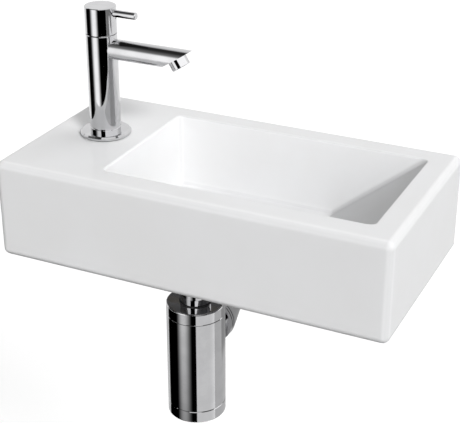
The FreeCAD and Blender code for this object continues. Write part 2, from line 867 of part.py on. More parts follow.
def make_outlet_pipe():
    """The pipe from the trap into the wall, with a shallow groove that marks how far it goes in."""
    body = drain_body("outlet_pipe", "outlet_z")
    turned_along_y(body, [
        ("tube - tube_wall", "pipe_start"),
        ("tube", "pipe_start"),
        ("tube", "drain_from_back - pipe_mark"),
        ("tube - pipe_mark_depth", "drain_from_back - pipe_mark"),
        ("tube - pipe_mark_depth", "drain_from_back"),
        ("tube", "drain_from_back"),
        ("tube", "pipe_end"),
        ("tube - tube_wall", "pipe_end"),
    ])
    return body


def make_tap_flange():
    """The thin base plate of the tap, with the low hub that carries the column."""
    body = tap_body("tap_flange")
    turned(body, [
        ("shank + fit_clearance", "base_gasket"),
        ("flange_diameter / 2", "base_gasket"),
        ("flange_diameter / 2", "flange_top - flange_bevel"),
        ("flange_diameter / 2 - flange_bevel", "flange_top"),
        ("flange_hub_diameter / 2", "flange_top"),
        ("flange_hub_diameter / 2", "column_base - hub_bevel"),
        ("flange_hub_diameter / 2 - hub_bevel", "column_base"),
        ("shank + fit_clearance", "column_base"),
    ])
    return body


def make_tap_column():
    """The tap's body: an upright column with a straight spout cut off at a slant."""
    body = tap_body("tap_column")
    turned(body, [
        ("0", "column_base"),
        ("column - hub_bevel", "column_base"),
        ("column", "column_base + hub_bevel"),
        ("column", "column_top - seam_bevel"),
        ("column - seam_bevel", "column_top"),
        ("0", "column_top"),
    ])
    spout = draw_circle(sketch_on(body, "YZ_Plane"), "0", "spout_height", "spout_diameter")
    pad(body, spout, "spout_reach + 0.75 * spout_diameter / tan(spout_cut_angle)")
    along, up = "spout_cut * cos(spout_cut_angle)", "spout_cut * sin(spout_cut_angle)"
    slant = draw_outline(sketch_on(body, "XZ_Plane"), [
        ("spout_reach + " + along, "spout_height + " + up),
        ("spout_reach - " + along, "spout_height - " + up),
        ("spout_reach + " + along, "spout_height - " + up),
    ])
    pocket(body, slant, "spout_diameter * 2", both_ways=True)
    inside = draw_outline(sketch_on(body, "XZ_Plane"), [
        ("0", "column_base"),
        ("shank + fit_clearance", "column_base"),
        ("shank + fit_clearance", "shank_top"),
        ("shank_bore / 2", "shank_top"),
        ("shank_bore / 2", "valve_seat"),
        ("valve_chamber / 2", "valve_seat"),
        ("valve_chamber / 2", "column_top"),
        ("0", "column_top"),
    ])
    groove(body, inside)
    waterway = draw_circle(sketch_on(body, "YZ_Plane"), "0", "spout_height", "spout_bore")
    pocket(body, waterway, "spout_reach", along_normal=True)
    nozzle_seat = sketch_on(body, "XZ_Plane", ("spout_reach", "spout_height"), turn="spout_cut_angle")
    draw_block(nozzle_seat, "0", "-aerator_socket_depth", "aerator_socket / 2", "aerator_socket_depth")
    groove(body, nozzle_seat)
    return body


def make_shank():
    """The threaded pipe through the deck, with a relief groove between its two threads."""
    body = tap_body("tap_shank")
    turned(body, [
        ("shank_bore / 2", "-shank_below_rim"),
        ("shank", "-shank_below_rim"),
        ("shank", "relief_under"),
        ("shank - shank_relief_depth", "relief_under"),
        ("shank - shank_relief_depth", "relief_top"),
        ("shank", "relief_top"),
        ("shank", "shank_top"),
        ("shank_bore / 2", "shank_top"),
    ])
    return body


def make_lock_nut():
    """The nut that clamps the tap from under the deck."""
    body = tap_body("lock_nut")
    return hex_nut(body, "lock_nut_across", "lock_nut_under", "clamp_under",
                   "shank_thread + 2 * fit_clearance")


def draw_sector(sketch, turn):
    """Draw a quarter-round window of a valve disc, as wide as the disc allows."""
    inner, outer = "disc_hub", "disc_hub + disc_window"
    half = 40
    angles = [turn - half, turn + half]
    rim = [("(%s) * cos(%g)" % (outer, a), "(%s) * sin(%g)" % (outer, a)) for a in angles]
    hub = [("(%s) * cos(%g)" % (inner, a), "(%s) * sin(%g)" % (inner, a)) for a in reversed(angles)]
    middle = ("(%s) * cos(%g)" % (outer, turn), "(%s) * sin(%g)" % (outer, turn))
    return draw_outline(sketch, [rim[0], middle, rim[1]] + hub)


def make_disc(label, low, turn):
    """A ceramic valve disc with two opposite windows."""
    body = tap_body(label)
    face = draw_circle(sketch_on(body, "XY_Plane", lift=low), "0", "0", "disc_diameter")
    pad(body, face, "disc_thickness")
    windows = sketch_on(body, "XY_Plane", lift=low)
    draw_sector(windows, turn)
    draw_sector(windows, turn + CIRCLE / 2)
    pocket(body, windows, "disc_thickness", along_normal=True)
    return body


def make_headwork():
    """The brass valve insert, with a windowed cage round the discs and a round head on the column."""
    body = tap_body("headwork")
    turned(body, [
        ("cage_bore", "disc_floor"),
        ("cage", "disc_floor"),
        ("cage", "column_top - headwork_thread_length"),
        ("headwork_thread", "column_top - headwork_thread_length"),
        ("headwork_thread", "column_top"),
        ("headwork_head / 2", "column_top"),
        ("headwork_head / 2", "headwork_head_top"),
        ("headwork_neck / 2", "headwork_head_top"),
        ("headwork_neck / 2", "headwork_top"),
        ("spindle_bore", "headwork_top"),
        ("spindle_bore", "cage_top"),
        ("cage_bore", "cage_top"),
    ])
    low = "foot_top - cage_window_height"
    window = draw_block(sketch_on(body, "XZ_Plane"), "-cage_window / 2", low,
                        "cage_window / 2", "foot_top")
    pocket(body, window, "valve_chamber", both_ways=True)
    return body


def make_spindle():
    """The stem that carries the cap's turn down to the moving disc."""
    body = tap_body("spindle")
    seal_low = "spindle_seal_top - spindle_seal"
    turned(body, [
        ("0", "foot_floor"),
        ("spindle_foot / 2", "foot_floor"),
        ("spindle_foot / 2", "foot_top"),
        ("spindle", "foot_top"),
        ("spindle", seal_low),
        ("spindle - spindle_seal_depth", seal_low),
        ("spindle - spindle_seal_depth", "spindle_seal_top"),
        ("spindle", "spindle_seal_top"),
        ("spindle", "spindle_top"),
        ("0", "spindle_top"),
    ])
    return body


def make_handle_cap():
    """The turning cap on top of the column, hollow over the valve's head."""
    body = tap_body("handle_cap")
    turned(body, [
        ("column - cap_shell", "cap_base"),
        ("column - seam_bevel", "cap_base"),
        ("column", "cap_base + seam_bevel"),
        ("column", "tap_height - seam_bevel"),
        ("column - seam_bevel", "tap_height"),
        ("0", "tap_height"),
        ("0", "spindle_top + cap_gap"),
        ("socket", "spindle_top + cap_gap"),
        ("socket", "socket_floor"),
        ("neck_hole", "socket_floor"),
        ("neck_hole", "cavity_top"),
        ("column - cap_shell", "cavity_top"),
    ])
    lever_hole = draw_circle(sketch_on(body, "YZ_Plane", lift="lever_seat"), "0", "lever_z",
                             "lever_diameter + 2 * fit_clearance")
    pocket(body, lever_hole, "column", along_normal=True)
    grub_hole = draw_circle(sketch_on(body, "YZ_Plane"), "0", "grub_z",
                            "grub_diameter + 2 * fit_clearance")
    pocket(body, grub_hole, "column")
    return body


def make_lever():
    """The pin that sticks out of the cap, for the fingers."""
    body = tap_body("lever_pin", "lever_z")
    turned_along_x(body, [
        ("lever_seat", "0"),
        ("lever_reach", "0"),
        ("lever_reach", "lever_diameter / 2 - lever_bevel"),
        ("lever_reach - lever_bevel", "lever_diameter / 2"),
        ("lever_seat", "lever_diameter / 2"),
    ])
    return body


def make_grub_screw():
    """The screw that holds the cap on the spindle."""
    body = tap_body("grub_screw", "grub_z")
    turned_along_x(body, [
        ("grub_sunk - column", "0"),
        ("-spindle - fit_clearance", "0"),
        ("-spindle - fit_clearance", "grub_diameter / 2"),
        ("grub_sunk - column", "grub_diameter / 2"),
    ])
    return body


def make_aerator_housing():
    """The nozzle ring screwed into the slanted end of the spout."""
    body = nozzle_body("aerator_housing")
    turned(body, [
        ("insert + fit_clearance", "aerator_end"),
        ("aerator_diameter / 2 - seam_bevel", "aerator_end"),
        ("aerator_diameter / 2", "aerator_end + seam_bevel"),
        ("aerator_diameter / 2", "0"),
        ("aerator_neck", "0"),
        ("aerator_neck", "aerator_neck_top"),
        ("aerator_throat / 2", "aerator_neck_top"),
        ("aerator_throat / 2", "insert_top"),
        ("insert + fit_clearance", "insert_top"),
    ])
    return body


def make_aerator_insert():
    """The plug of small round channels that breaks the stream up."""
    body = nozzle_body("aerator_insert")
    plug = draw_circle(sketch_on(body, "XY_Plane", lift="insert_floor"), "0", "0", "aerator_insert")
    pad(body, plug, "aerator_insert_height")
    rows = (("aerator_inner_circle", "aerator_inner_count"), ("aerator_outer_circle", "aerator_outer_count"))
    for across, count in rows:
        cell = draw_circle(sketch_on(body, "XY_Plane", lift="insert_floor"),
                           across + " / 2", "0", "aerator_cell")
        cut = pocket(body, cell, "aerator_insert_height", along_normal=True)
        repeat_round(body, cut, cell, count)
    return body


def make_seals():
    """The plain rings: seals, gaskets and washers."""
    ring(drain_body("strainer_seal"), "drain_hole / 2", "strainer_diameter / 2 - strainer_edge",
         "seat", "strainer_under")
    ring(drain_body("tail_seal"), "throat + fit_clearance", "tail_flange / 2", "tail_top", "floor_under")
    ring(drain_body("coupling_washer"), "tube - tube_wall", "collar", "collar_top", "tail_end")
    ring(drain_body("cup_seal"), "cup_seal_bore / 2", "neck - free_clearance",
         "cup_floor", "cup_floor + cup_seal")
    ring(tap_body("base_gasket"), "shank + fit_clearance", "base_gasket_diameter / 2", "0", "base_gasket")
    ring(tap_body("clamp_rubber"), "shank + fit_clearance", "clamp_washer_diameter / 2",
         "clamp_middle", "clamp_top")
    ring(tap_body("clamp_plate"), "shank + fit_clearance", "clamp_washer_diameter / 2",
         "clamp_under", "clamp_middle")
    ring(tap_body("seat_seal"), "shank_bore / 2", "seat_seal_diameter / 2", "valve_seat", "disc_floor")
    ring(tap_body("spindle_seal"), "spindle - spindle_seal_depth", "spindle + running_clearance / 2",
         "spindle_seal_top - spindle_seal", "spindle_seal_top")
    ring(nozzle_body("aerator_washer"), "spout_bore / 2 - aerator_washer", "aerator_neck",
         "aerator_neck_top", "aerator_socket_depth")


def check_document():
    """Stop if any object failed or any piece has no sound solid."""
    for item in doc.Objects:
        if "Invalid" in item.State or "Error" in item.State:
            raise RuntimeError(item.Name + " failed: " + str(item.State))
    for body in doc.findObjects("PartDesign::Body"):
        if body.Shape.isNull() or not body.Shape.isValid() or len(body.Shape.Solids) != 1:
            raise RuntimeError(body.Label + " is not one sound solid")


def write_parts():
    """Write each piece to a file of its own name."""
    os.makedirs("parts", exist_ok=True)
    for body in doc.findObjects("PartDesign::Body"):
        body.Shape.exportStep(os.path.join("parts", body.Label + ".step"))


sizes = make_sheet()
make_basin()
make_strainer()
make_waste_screw()
make_waste_tail()
make_coupling_nut()
make_inlet_tube()
make_tube_gland()
make_trap_cap()
make_trap_body()
make_cleaning_cup()
make_outlet_nut()
make_outlet_seal()
make_outlet_pipe()
make_tap_flange()
make_tap_column()
make_shank()
make_lock_nut()
make_disc("fixed_disc", "disc_floor", 0)
make_disc("moving_disc", "disc_joint + disc_gap", CIRCLE / 4)
make_headwork()
make_spindle()
make_handle_cap()
make_lever()
make_grub_screw()
make_aerator_housing()
make_aerator_insert()
make_seals()
doc.recompute()
check_document()
write_parts()
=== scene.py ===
"""Looks of a small wall-hung hand basin with a lever tap, a strainer waste and a bottle trap.

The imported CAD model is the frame: metres, the wall at Y = 0, the front towards -Y and +Z up.
A piece whose CAD shape is already right keeps it and gets a finish. Pieces with screw threads, soft
rubber edges, turned-off corners or a slot are worked out here as surfaces and stand in for their nodes.
"""

import logging
import math
from dataclasses import dataclass
from enum import Enum

import bmesh
import bpy
import numpy as np
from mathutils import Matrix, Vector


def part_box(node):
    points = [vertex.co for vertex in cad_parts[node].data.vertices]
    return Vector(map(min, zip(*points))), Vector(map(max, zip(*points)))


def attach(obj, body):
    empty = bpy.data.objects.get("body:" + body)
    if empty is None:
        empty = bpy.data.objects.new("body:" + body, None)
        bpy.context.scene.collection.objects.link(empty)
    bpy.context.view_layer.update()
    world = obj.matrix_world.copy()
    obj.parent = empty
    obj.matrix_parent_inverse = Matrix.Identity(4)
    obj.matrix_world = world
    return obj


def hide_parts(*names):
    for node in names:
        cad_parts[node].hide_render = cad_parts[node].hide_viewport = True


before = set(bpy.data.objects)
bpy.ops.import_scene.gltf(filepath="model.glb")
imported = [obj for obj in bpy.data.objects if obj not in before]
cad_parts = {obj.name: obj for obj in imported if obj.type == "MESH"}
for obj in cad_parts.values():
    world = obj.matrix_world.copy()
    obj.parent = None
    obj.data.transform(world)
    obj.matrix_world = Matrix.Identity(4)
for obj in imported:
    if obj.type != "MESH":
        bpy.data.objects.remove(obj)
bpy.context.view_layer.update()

log = logging.getLogger("hand_basin")

MM = 0.001
FULL_TURN = 2.0 * math.pi
MERGE_DISTANCE = 1e-7
SHARP_ANGLE = math.radians(38.0)

Colour = tuple[float, float, float]
Point = tuple[float, float, float]
Span = tuple[float, float]
Socket = bpy.types.NodeSocket

# Nearly all values of a noise texture lie in this span.
NOISE_SPAN: Span = (0.3, 0.7)
# Grid rows over one pitch of a screw thread.
STEPS_PER_PITCH = 9.0


class Moves(Enum):
    """The body of the frame that a piece moves with."""

    FIXED = "basin_set"
    HANDLE = "handle"
    CUP_RING = "cup_ring"


class Slot(Enum):
    """The record's material slot that a piece takes its finish from."""

    GLAZE = "glaze"
    CHROME = "chrome"
    BRASS = "brass"
    STEEL = "steel"
    RUBBER = "rubber"
    CERAMIC = "valve_ceramic"
    PLASTIC = "plastic"


class NodeSheet:
    """A node tree, with short calls for the nodes that the finishes and the studio share."""

    def __init__(self, tree: bpy.types.NodeTree) -> None:
        """Start with an empty tree.

        Args:
            tree: the tree to fill.
        """
        self.tree = tree
        tree.nodes.clear()

    def add(self, kind: str, **settings: object) -> bpy.types.Node:
        """Add a node.

        Args:
            kind: Blender's name of the node's type.
            settings: attributes of the node to set.

        Returns:
            The new node.
        """
        node = self.tree.nodes.new(kind)
        for key, setting in settings.items():
            setattr(node, key, setting)
        return node

    def join(self, source: Socket, target: Socket) -> None:
        """Link an output to an input."""
        self.tree.links.new(source, target)

    def spread(self, value: Socket, source: Span, target: Span) -> Socket:
        """Map a value from one span to another, clamped, with soft ends.

        Args:
            value: the value to map.
            source: the span that it is read over.
            target: what the ends of that span become.

        Returns:
            The mapped value.
        """
        node = self.add("ShaderNodeMapRange", interpolation_type="SMOOTHSTEP")
        for key, end in zip(("From Min", "From Max", "To Min", "To Max"), source + target):
            node.inputs[key].default_value = end
        self.join(value, node.inputs["Value"])
        return node.outputs["Result"]

    def work(self, operation: str, *values: Socket | float) -> Socket:
        """Combine values that vary over the surface with one arithmetic step.

        Args:
            operation: Blender's name of the step.
            values: the operands, outputs or numbers.

        Returns:
            The result.
        """
        node = self.add("ShaderNodeMath", operation=operation)
        for number, value in enumerate(values):
            if isinstance(value, (int, float)):
                node.inputs[number].default_value = value
            else:
                self.join(value, node.inputs[number])
        return node.outputs["Value"]

    def between(self, factor: Socket, low: Colour, high: Colour) -> Socket:
        """A colour that runs from low at 0 to high at 1.

        Args:
            factor: where between the two colours.
            low: the colour at 0.
            high: the colour at 1.

        Returns:
            The colour.
        """
        ramp = self.add("ShaderNodeValToRGB")
        ramp.color_ramp.elements[0].color = (*low, 1.0)
        ramp.color_ramp.elements[1].color = (*high, 1.0)
        self.join(factor, ramp.inputs["Fac"])
        return ramp.outputs["Color"]

    def split(self, vector: Socket) -> list[Socket]:
        """Take a vector apart.

        Args:
            vector: the vector.

        Returns:
            Its three coordinates.
        """
        node = self.add("ShaderNodeSeparateXYZ")
        self.join(vector, node.inputs["Vector"])
        return list(node.outputs)

    def seen_ray(self) -> Socket:
        """Tell the rays that show the background: from the camera, in mirrors and through glass.

        Returns:
            1 for such a ray and 0 for others.
        """
        path = self.add("ShaderNodeLightPath")
        mirrored = self.work("MAXIMUM", path.outputs["Is Glossy Ray"], path.outputs["Is Transmission Ray"])
        return self.work("MAXIMUM", path.outputs["Is Camera Ray"], mirrored)


class FinishSheet(NodeSheet):
    """The node tree of a material with one Principled shader."""

    def __init__(self, name: str) -> None:
        """Start a material of that name.

        Args:
            name: the material's name.
        """
        self.material = bpy.data.materials.new(name)
        self.material.use_nodes = True
        super().__init__(self.material.node_tree)
        self.shader = self.add("ShaderNodeBsdfPrincipled")
        self.output = self.add("ShaderNodeOutputMaterial")
        self.join(self.shader.outputs["BSDF"], self.output.inputs["Surface"])
        self.place = self.add("ShaderNodeTexCoord").outputs["Object"]

    def fix(self, **values: object) -> None:
        """Set inputs of the shader that are the same all over the surface."""
        for key, value in values.items():
            self.shader.inputs[key.replace("_", " ").title().replace("Ior", "IOR")].default_value = value

    def noise(self, size: float, detail: float = 2.0, stretch: Point = (1.0, 1.0, 1.0),
              point: Socket | None = None) -> Socket:
        """Noise over the object's own coordinates.

        Args:
            size: the typical width of one patch, in metres.
            detail: octaves of finer noise on top.
            stretch: factors on the three coordinates, below 1 to lengthen patches that way.
            point: other coordinates to read instead of the object's.

        Returns:
            The noise value, about 0.5 in the mean.
        """
        mapping = self.add("ShaderNodeMapping")
        mapping.inputs["Scale"].default_value = stretch
        self.join(point or self.place, mapping.inputs["Vector"])
        texture = self.add("ShaderNodeTexNoise")
        texture.inputs["Scale"].default_value = 1.0 / size
        texture.inputs["Detail"].default_value = detail
        self.join(mapping.outputs["Vector"], texture.inputs["Vector"])
        return texture.outputs["Fac"]

    def patches(self, size: float, detail: float, edges: Span = (0.35, 0.65)) -> Socket:
        """Soft patches of about that size in metres: noise that rises from 0 to 1 between two edges."""
        return self.spread(self.noise(size, detail), edges, (0.0, 1.0))

    def surface(self, colour: Socket, roughness: Socket, normal: Socket) -> None:
        """Link what varies over the surface to the shader.

        Args:
            colour: the base colour.
            roughness: the roughness.
            normal: the bumped normal.
        """
        for key, source in (("Base Color", colour), ("Roughness", roughness), ("Normal", normal)):
            self.join(source, self.shader.inputs[key])

    def blend(self, factor: Socket, below: Socket, above: Socket) -> Socket:
        """Blend two colours that vary over the surface.

        Args:
            factor: 0 for the first colour and 1 for the second.
            below: the first colour.
            above: the second colour.

        Returns:
            The blended colour.
        """
        mix = self.add("ShaderNodeMix", data_type="RGBA")
        self.join(factor, mix.inputs[0])
        self.join(below, mix.inputs[6])
        self.join(above, mix.inputs[7])
        return mix.outputs[2]

    def relief(self, height: Socket, depth: float, under: Socket | None = None) -> Socket:
        """Bump of the given depth.

        Args:
            height: the height over the surface, from 0 to 1.
            depth: how deep the bump is, in metres.
            under: the normal of a coarser bump below this one.

        Returns:
            The bumped normal.
        """
        node = self.add("ShaderNodeBump")
        node.inputs["Strength"].default_value = 1.0
        node.inputs["Distance"].default_value = depth
        self.join(height, node.inputs["Height"])
        if under is not None:
            self.join(under, node.inputs["Normal"])
        return node.outputs["Normal"]

    def slant(self) -> Socket:
        """How far the surface leans off the object's axes, from 0 on square faces to 1 on rounded edges.

        Returns:
            The lean, from the largest part of the object's own normal.
        """
        square_to_round = (0.98, 0.82)
        normal = self.add("ShaderNodeTexCoord").outputs["Normal"]
        x, y, z = (self.work("ABSOLUTE", part) for part in self.split(normal))
        largest = self.work("MAXIMUM", self.work("MAXIMUM", x, y), z)
        return self.spread(largest, square_to_round, (0.0, 1.0))

    def lathe_point(self, axis: tuple[float, float]) -> Socket:
        """Coordinates of (distance from an upright axis, height, 0), for lines left by turning.

        Args:
            axis: where the axis stands, in X and Y.

        Returns:
            The coordinates.
        """
        x, y, z = self.split(self.place)
        across = self.work("SUBTRACT", x, axis[0])
        sideways = self.work("SUBTRACT", y, axis[1])
        squares = self.work("ADD", self.work("POWER", across, 2.0), self.work("POWER", sideways, 2.0))
        point = self.add("ShaderNodeCombineXYZ")
        self.join(self.work("SQRT", squares), point.inputs["X"])
        self.join(z, point.inputs["Y"])
        return point.outputs["Vector"]


def shaded(tone: Colour, share: float) -> Colour:
    """A tone with each part times a share."""
    return tuple(share * part for part in tone)


@dataclass(frozen=True)
class Glaze:
    """White gloss glaze over fired clay, bare clay where the casting meets the wall and on its foot.

    Rounded edges and slopes are painted darker: painted shade that tones down how bright the lamps make
    them.
    """

    thin: Colour = (0.826, 0.827, 0.830)
    thick: Colour = (0.843, 0.846, 0.853)
    pool: float = 90.0 * MM
    # Share of the glaze colour on rounded edges and slopes: painted shade.
    painted_slope_shade: float = 0.91
    clay: Colour = (0.70, 0.66, 0.60)
    clay_shade: float = 0.9
    clay_grain: float = 1.2 * MM
    clay_rough: float = 0.85
    bare_edge: float = 1.2 * MM
    ragged: float = 6.0 * MM
    ragged_blend: float = 0.4 * MM
    smear: float = 35.0 * MM
    gloss: Span = (0.10, 0.16)
    wave: float = 60.0 * MM
    wave_depth: float = 0.10 * MM
    peel: float = 2.5 * MM
    peel_depth: float = 0.004 * MM

    def material(self, low: np.ndarray, high: np.ndarray) -> bpy.types.Material:
        """Make the material.

        Args:
            low: the casting's lowest corner.
            high: its highest corner.

        Returns:
            The material.
        """
        sheet = FinishSheet("white_glaze")
        pool = sheet.patches(self.pool, 3.0)
        even = sheet.between(pool, self.thin, self.thick)
        # Painted shade: a darker copy of the glaze, blended in on rounded edges and slopes by how far they
        # lean.
        painted_slope_shade = sheet.between(pool, shaded(self.thin, self.painted_slope_shade), shaded(self.thick, self.painted_slope_shade))
        glazed = sheet.blend(sheet.slant(), even, painted_slope_shade)
        grain = sheet.noise(self.clay_grain, 4.0)
        clay = sheet.between(grain, shaded(self.clay, self.clay_shade), self.clay)
        _, depth, height = sheet.split(sheet.place)
        ragged = sheet.spread(sheet.noise(self.ragged, 3.0), NOISE_SPAN, (0.0, self.bare_edge))
        wall_gap = sheet.work("SUBTRACT", high[1] - self.bare_edge, depth)
        foot_gap = sheet.work("SUBTRACT", height, low[2] + self.bare_edge)
        nearest = sheet.work("ADD", sheet.work("MINIMUM", wall_gap, foot_gap), ragged)
        bare = sheet.spread(nearest, (0.0, self.ragged_blend), (1.0, 0.0))
        smear = sheet.spread(sheet.noise(self.smear, 3.0), NOISE_SPAN, self.gloss)
        waves = sheet.relief(sheet.noise(self.wave, 1.0), self.wave_depth)
        sheet.surface(sheet.blend(bare, glazed, clay),
                      sheet.work("MAXIMUM", smear, sheet.work("MULTIPLY", bare, self.clay_rough)),
                      sheet.relief(sheet.noise(self.peel, 2.0), self.peel_depth, waves))
        sheet.fix(ior=1.52, specular_ior_level=0.0, coat_weight=0.3, coat_roughness=0.08)
        return sheet.material


@dataclass(frozen=True)
class Chrome:
    """Polished chrome plate, with faint wiping haze and the buffing wheel's fine ripple."""

    bright: Colour = (0.60, 0.60, 0.61)
    dull: Colour = (0.56, 0.56, 0.57)
    cloud: float = 18.0 * MM
    wipe: float = 7.0 * MM
    wipe_stretch: Point = (1.0, 1.0, 0.25)
    haze: Span = (0.025, 0.06)
    ripple: float = 14.0 * MM
    ripple_depth: float = 0.004 * MM

    def material(self) -> bpy.types.Material:
        """Make the material.

        Returns:
            The material.
        """
        sheet = FinishSheet("polished_chrome")
        wiped = sheet.noise(self.wipe, 3.0, self.wipe_stretch)
        sheet.surface(sheet.between(sheet.patches(self.cloud, 4.0), self.dull, self.bright),
                      sheet.spread(wiped, NOISE_SPAN, self.haze),
                      sheet.relief(sheet.noise(self.ripple, 1.0), self.ripple_depth))
        sheet.fix(metallic=1.0)
        return sheet.material


@dataclass(frozen=True)
class TurnedMetal:
    """Bare metal from the lathe, with fine lines round its axis and a little stain."""

    name: str
    bright: Colour
    stained: Colour
    axis: tuple[float, float]
    stain: float = 6.0 * MM
    stain_edges: Span = (0.35, 0.7)
    line: float = 0.16 * MM
    line_depth: float = 0.006 * MM
    gloss: Span = (0.22, 0.38)

    def material(self) -> bpy.types.Material:
        """Make the material.

        Returns:
            The material.
        """
        sheet = FinishSheet(self.name)
        stain = sheet.patches(self.stain, 5.0, self.stain_edges)
        lines = sheet.noise(self.line, 3.0, point=sheet.lathe_point(self.axis))
        sheet.surface(sheet.between(stain, self.bright, self.stained),
                      sheet.spread(lines, NOISE_SPAN, self.gloss),
                      sheet.relief(lines, self.line_depth))
        sheet.fix(metallic=1.0)
        return sheet.material


@dataclass(frozen=True)
class MouldedRubber:
    """Black moulded rubber with a dusty bloom and a fine grain."""

    black: Colour = (0.018, 0.018, 0.019)
    bloom: Colour = (0.055, 0.055, 0.056)
    dust: float = 4.0 * MM
    dust_edges: Span = (0.35, 0.75)
    gloss: Span = (0.45, 0.7)
    grain: float = 0.3 * MM
    grain_depth: float = 0.01 * MM

    def material(self) -> bpy.types.Material:
        """Make the material.

        Returns:
            The material.
        """
        sheet = FinishSheet("moulded_rubber")
        dust = sheet.patches(self.dust, 5.0, self.dust_edges)
        sheet.surface(sheet.between(dust, self.black, self.bloom),
                      sheet.spread(dust, (0.0, 1.0), self.gloss),
                      sheet.relief(sheet.noise(self.grain, 2.0), self.grain_depth))
        sheet.fix(specular_ior_level=0.4)
        return sheet.material


@dataclass(frozen=True)
class GroundCeramic:
    """Cream valve ceramic, ground flat, with long grinding marks."""

    pale: Colour = (0.86, 0.84, 0.78)
    warm: Colour = (0.80, 0.77, 0.70)
    fleck: float = 0.8 * MM
    mark: float = 0.25 * MM
    mark_stretch: Point = (1.0, 0.06, 1.0)
    mark_depth: float = 0.003 * MM
    gloss: Span = (0.18, 0.34)

    def material(self) -> bpy.types.Material:
        """Make the material.

        Returns:
            The material.
        """
        sheet = FinishSheet("ground_ceramic")
        marks = sheet.noise(self.mark, 2.0, self.mark_stretch)
        sheet.surface(sheet.between(sheet.patches(self.fleck, 4.0), self.warm, self.pale),
                      sheet.spread(marks, NOISE_SPAN, self.gloss),
                      sheet.relief(marks, self.mark_depth))
        sheet.fix(ior=1.7)
        return sheet.material


@dataclass(frozen=True)
class MouldedPlastic:
    """Pale moulded plastic with a soft gloss and a faint flow pattern."""

    pale: Colour = (0.80, 0.80, 0.79)
    flow: Colour = (0.74, 0.74, 0.735)
    swirl: float = 3.0 * MM
    gloss: Span = (0.32, 0.45)
    grain: float = 0.2 * MM
    grain_depth: float = 0.004 * MM

    def material(self) -> bpy.types.Material:
        """Make the material.

        Returns:
            The material.
        """
        sheet = FinishSheet("moulded_plastic")
        swirl = sheet.patches(self.swirl, 3.0)
        sheet.surface(sheet.between(swirl, self.flow, self.pale),
                      sheet.spread(swirl, (0.0, 1.0), self.gloss),
                      sheet.relief(sheet.noise(self.grain, 2.0), self.grain_depth))
        sheet.fix(ior=1.49)
        return sheet.material


def put(name: str, data: bpy.types.ID) -> bpy.types.Object:
    """Put a new object into the scene, at the origin.

    Args:
        name: the object's name.
        data: its mesh, light or camera.

    Returns:
        The object.
    """
    thing = bpy.data.objects.new(name, data)
    bpy.context.scene.collection.objects.link(thing)
    return thing


def middle_of(node: str) -> np.ndarray:
    """The middle of a CAD node's box."""
    return np.mean(np.array(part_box(node)), axis=0)


@dataclass(frozen=True)
class Axis:
    """A straight axis in space, round which a piece is turned."""

    foot: Point
    across: Point
    sideways: Point
    along: Point

    @staticmethod
    def upright(node: str) -> "Axis":
        """The upright axis through the middle of a CAD node, with heights in the frame's own Z."""
        x, y, _ = middle_of(node)
        return Axis((x, y, 0.0), (1.0, 0.0, 0.0), (0.0, 1.0, 0.0), (0.0, 0.0, 1.0))

    @staticmethod
    def level(node: str) -> "Axis":
        """The level axis through the middle of a CAD node, towards the wall, with heights in Y."""
        x, _, z = middle_of(node)
        return Axis((x, 0.0, z), (0.0, 0.0, 1.0), (1.0, 0.0, 0.0), (0.0, 1.0, 0.0))

    def spans(self, node: str) -> tuple[Span, Span]:
        """Measure a CAD node that lies round the axis.

        Args:
            node: the node's name.

        Returns:
            Its least and greatest radius, and its least and greatest height.
        """
        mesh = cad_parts[node].data
        flat = np.empty(3 * len(mesh.vertices), dtype=np.float32)
        mesh.vertices.foreach_get("co", flat)
        offset = flat.reshape(-1, 3).astype(float) - np.array(self.foot)
        height = offset @ np.array(self.along)
        radius = np.linalg.norm(offset - height[:, None] * np.array(self.along), axis=1)
        return (radius.min(), radius.max()), (height.min(), height.max())

    def place(self, radius: np.ndarray, turn: np.ndarray, height: np.ndarray) -> np.ndarray:
        """Points at the given radius, turn and height: foot + radius * (cos, sin) + height along.

        Args:
            radius: distances from the axis.
            turn: angles round it, in radians.
            height: distances along it.

        Returns:
            An array of points, with the coordinates last.
        """
        outward = (np.cos(turn)[..., None] * np.array(self.across)
                   + np.sin(turn)[..., None] * np.array(self.sideways))
        return np.array(self.foot) + radius[..., None] * outward + height[..., None] * np.array(self.along)


@dataclass(frozen=True)
class Thread:
    """A right-hand screw thread on a stretch of a turned piece's wall."""

    crest: float
    pitch: float
    depth: float
    start: float
    end: float
    run_out: float = 1.0

    def sink(self, turn: np.ndarray, height: np.ndarray) -> np.ndarray:
        """How deep the groove is at each turn and height.

        The groove is a rounded zigzag of the height in pitches less the turn in full turns. It fades out
        over run_out pitches at both ends of the stretch.

        Args:
            turn: angles round the axis, in radians.
            height: distances along it.

        Returns:
            The depth below the crest.
        """
        roundness = 0.93
        phase = np.cos(FULL_TURN * (height / self.pitch - turn / FULL_TURN))
        groove = 0.5 - 0.5 * np.arcsin(roundness * phase) / math.asin(roundness)
        fade = self.run_out * self.pitch
        inside = np.clip(np.minimum(height - self.start, self.end - height) / fade, 0.0, 1.0)
        return self.depth * groove * inside * inside * (3.0 - 2.0 * inside)


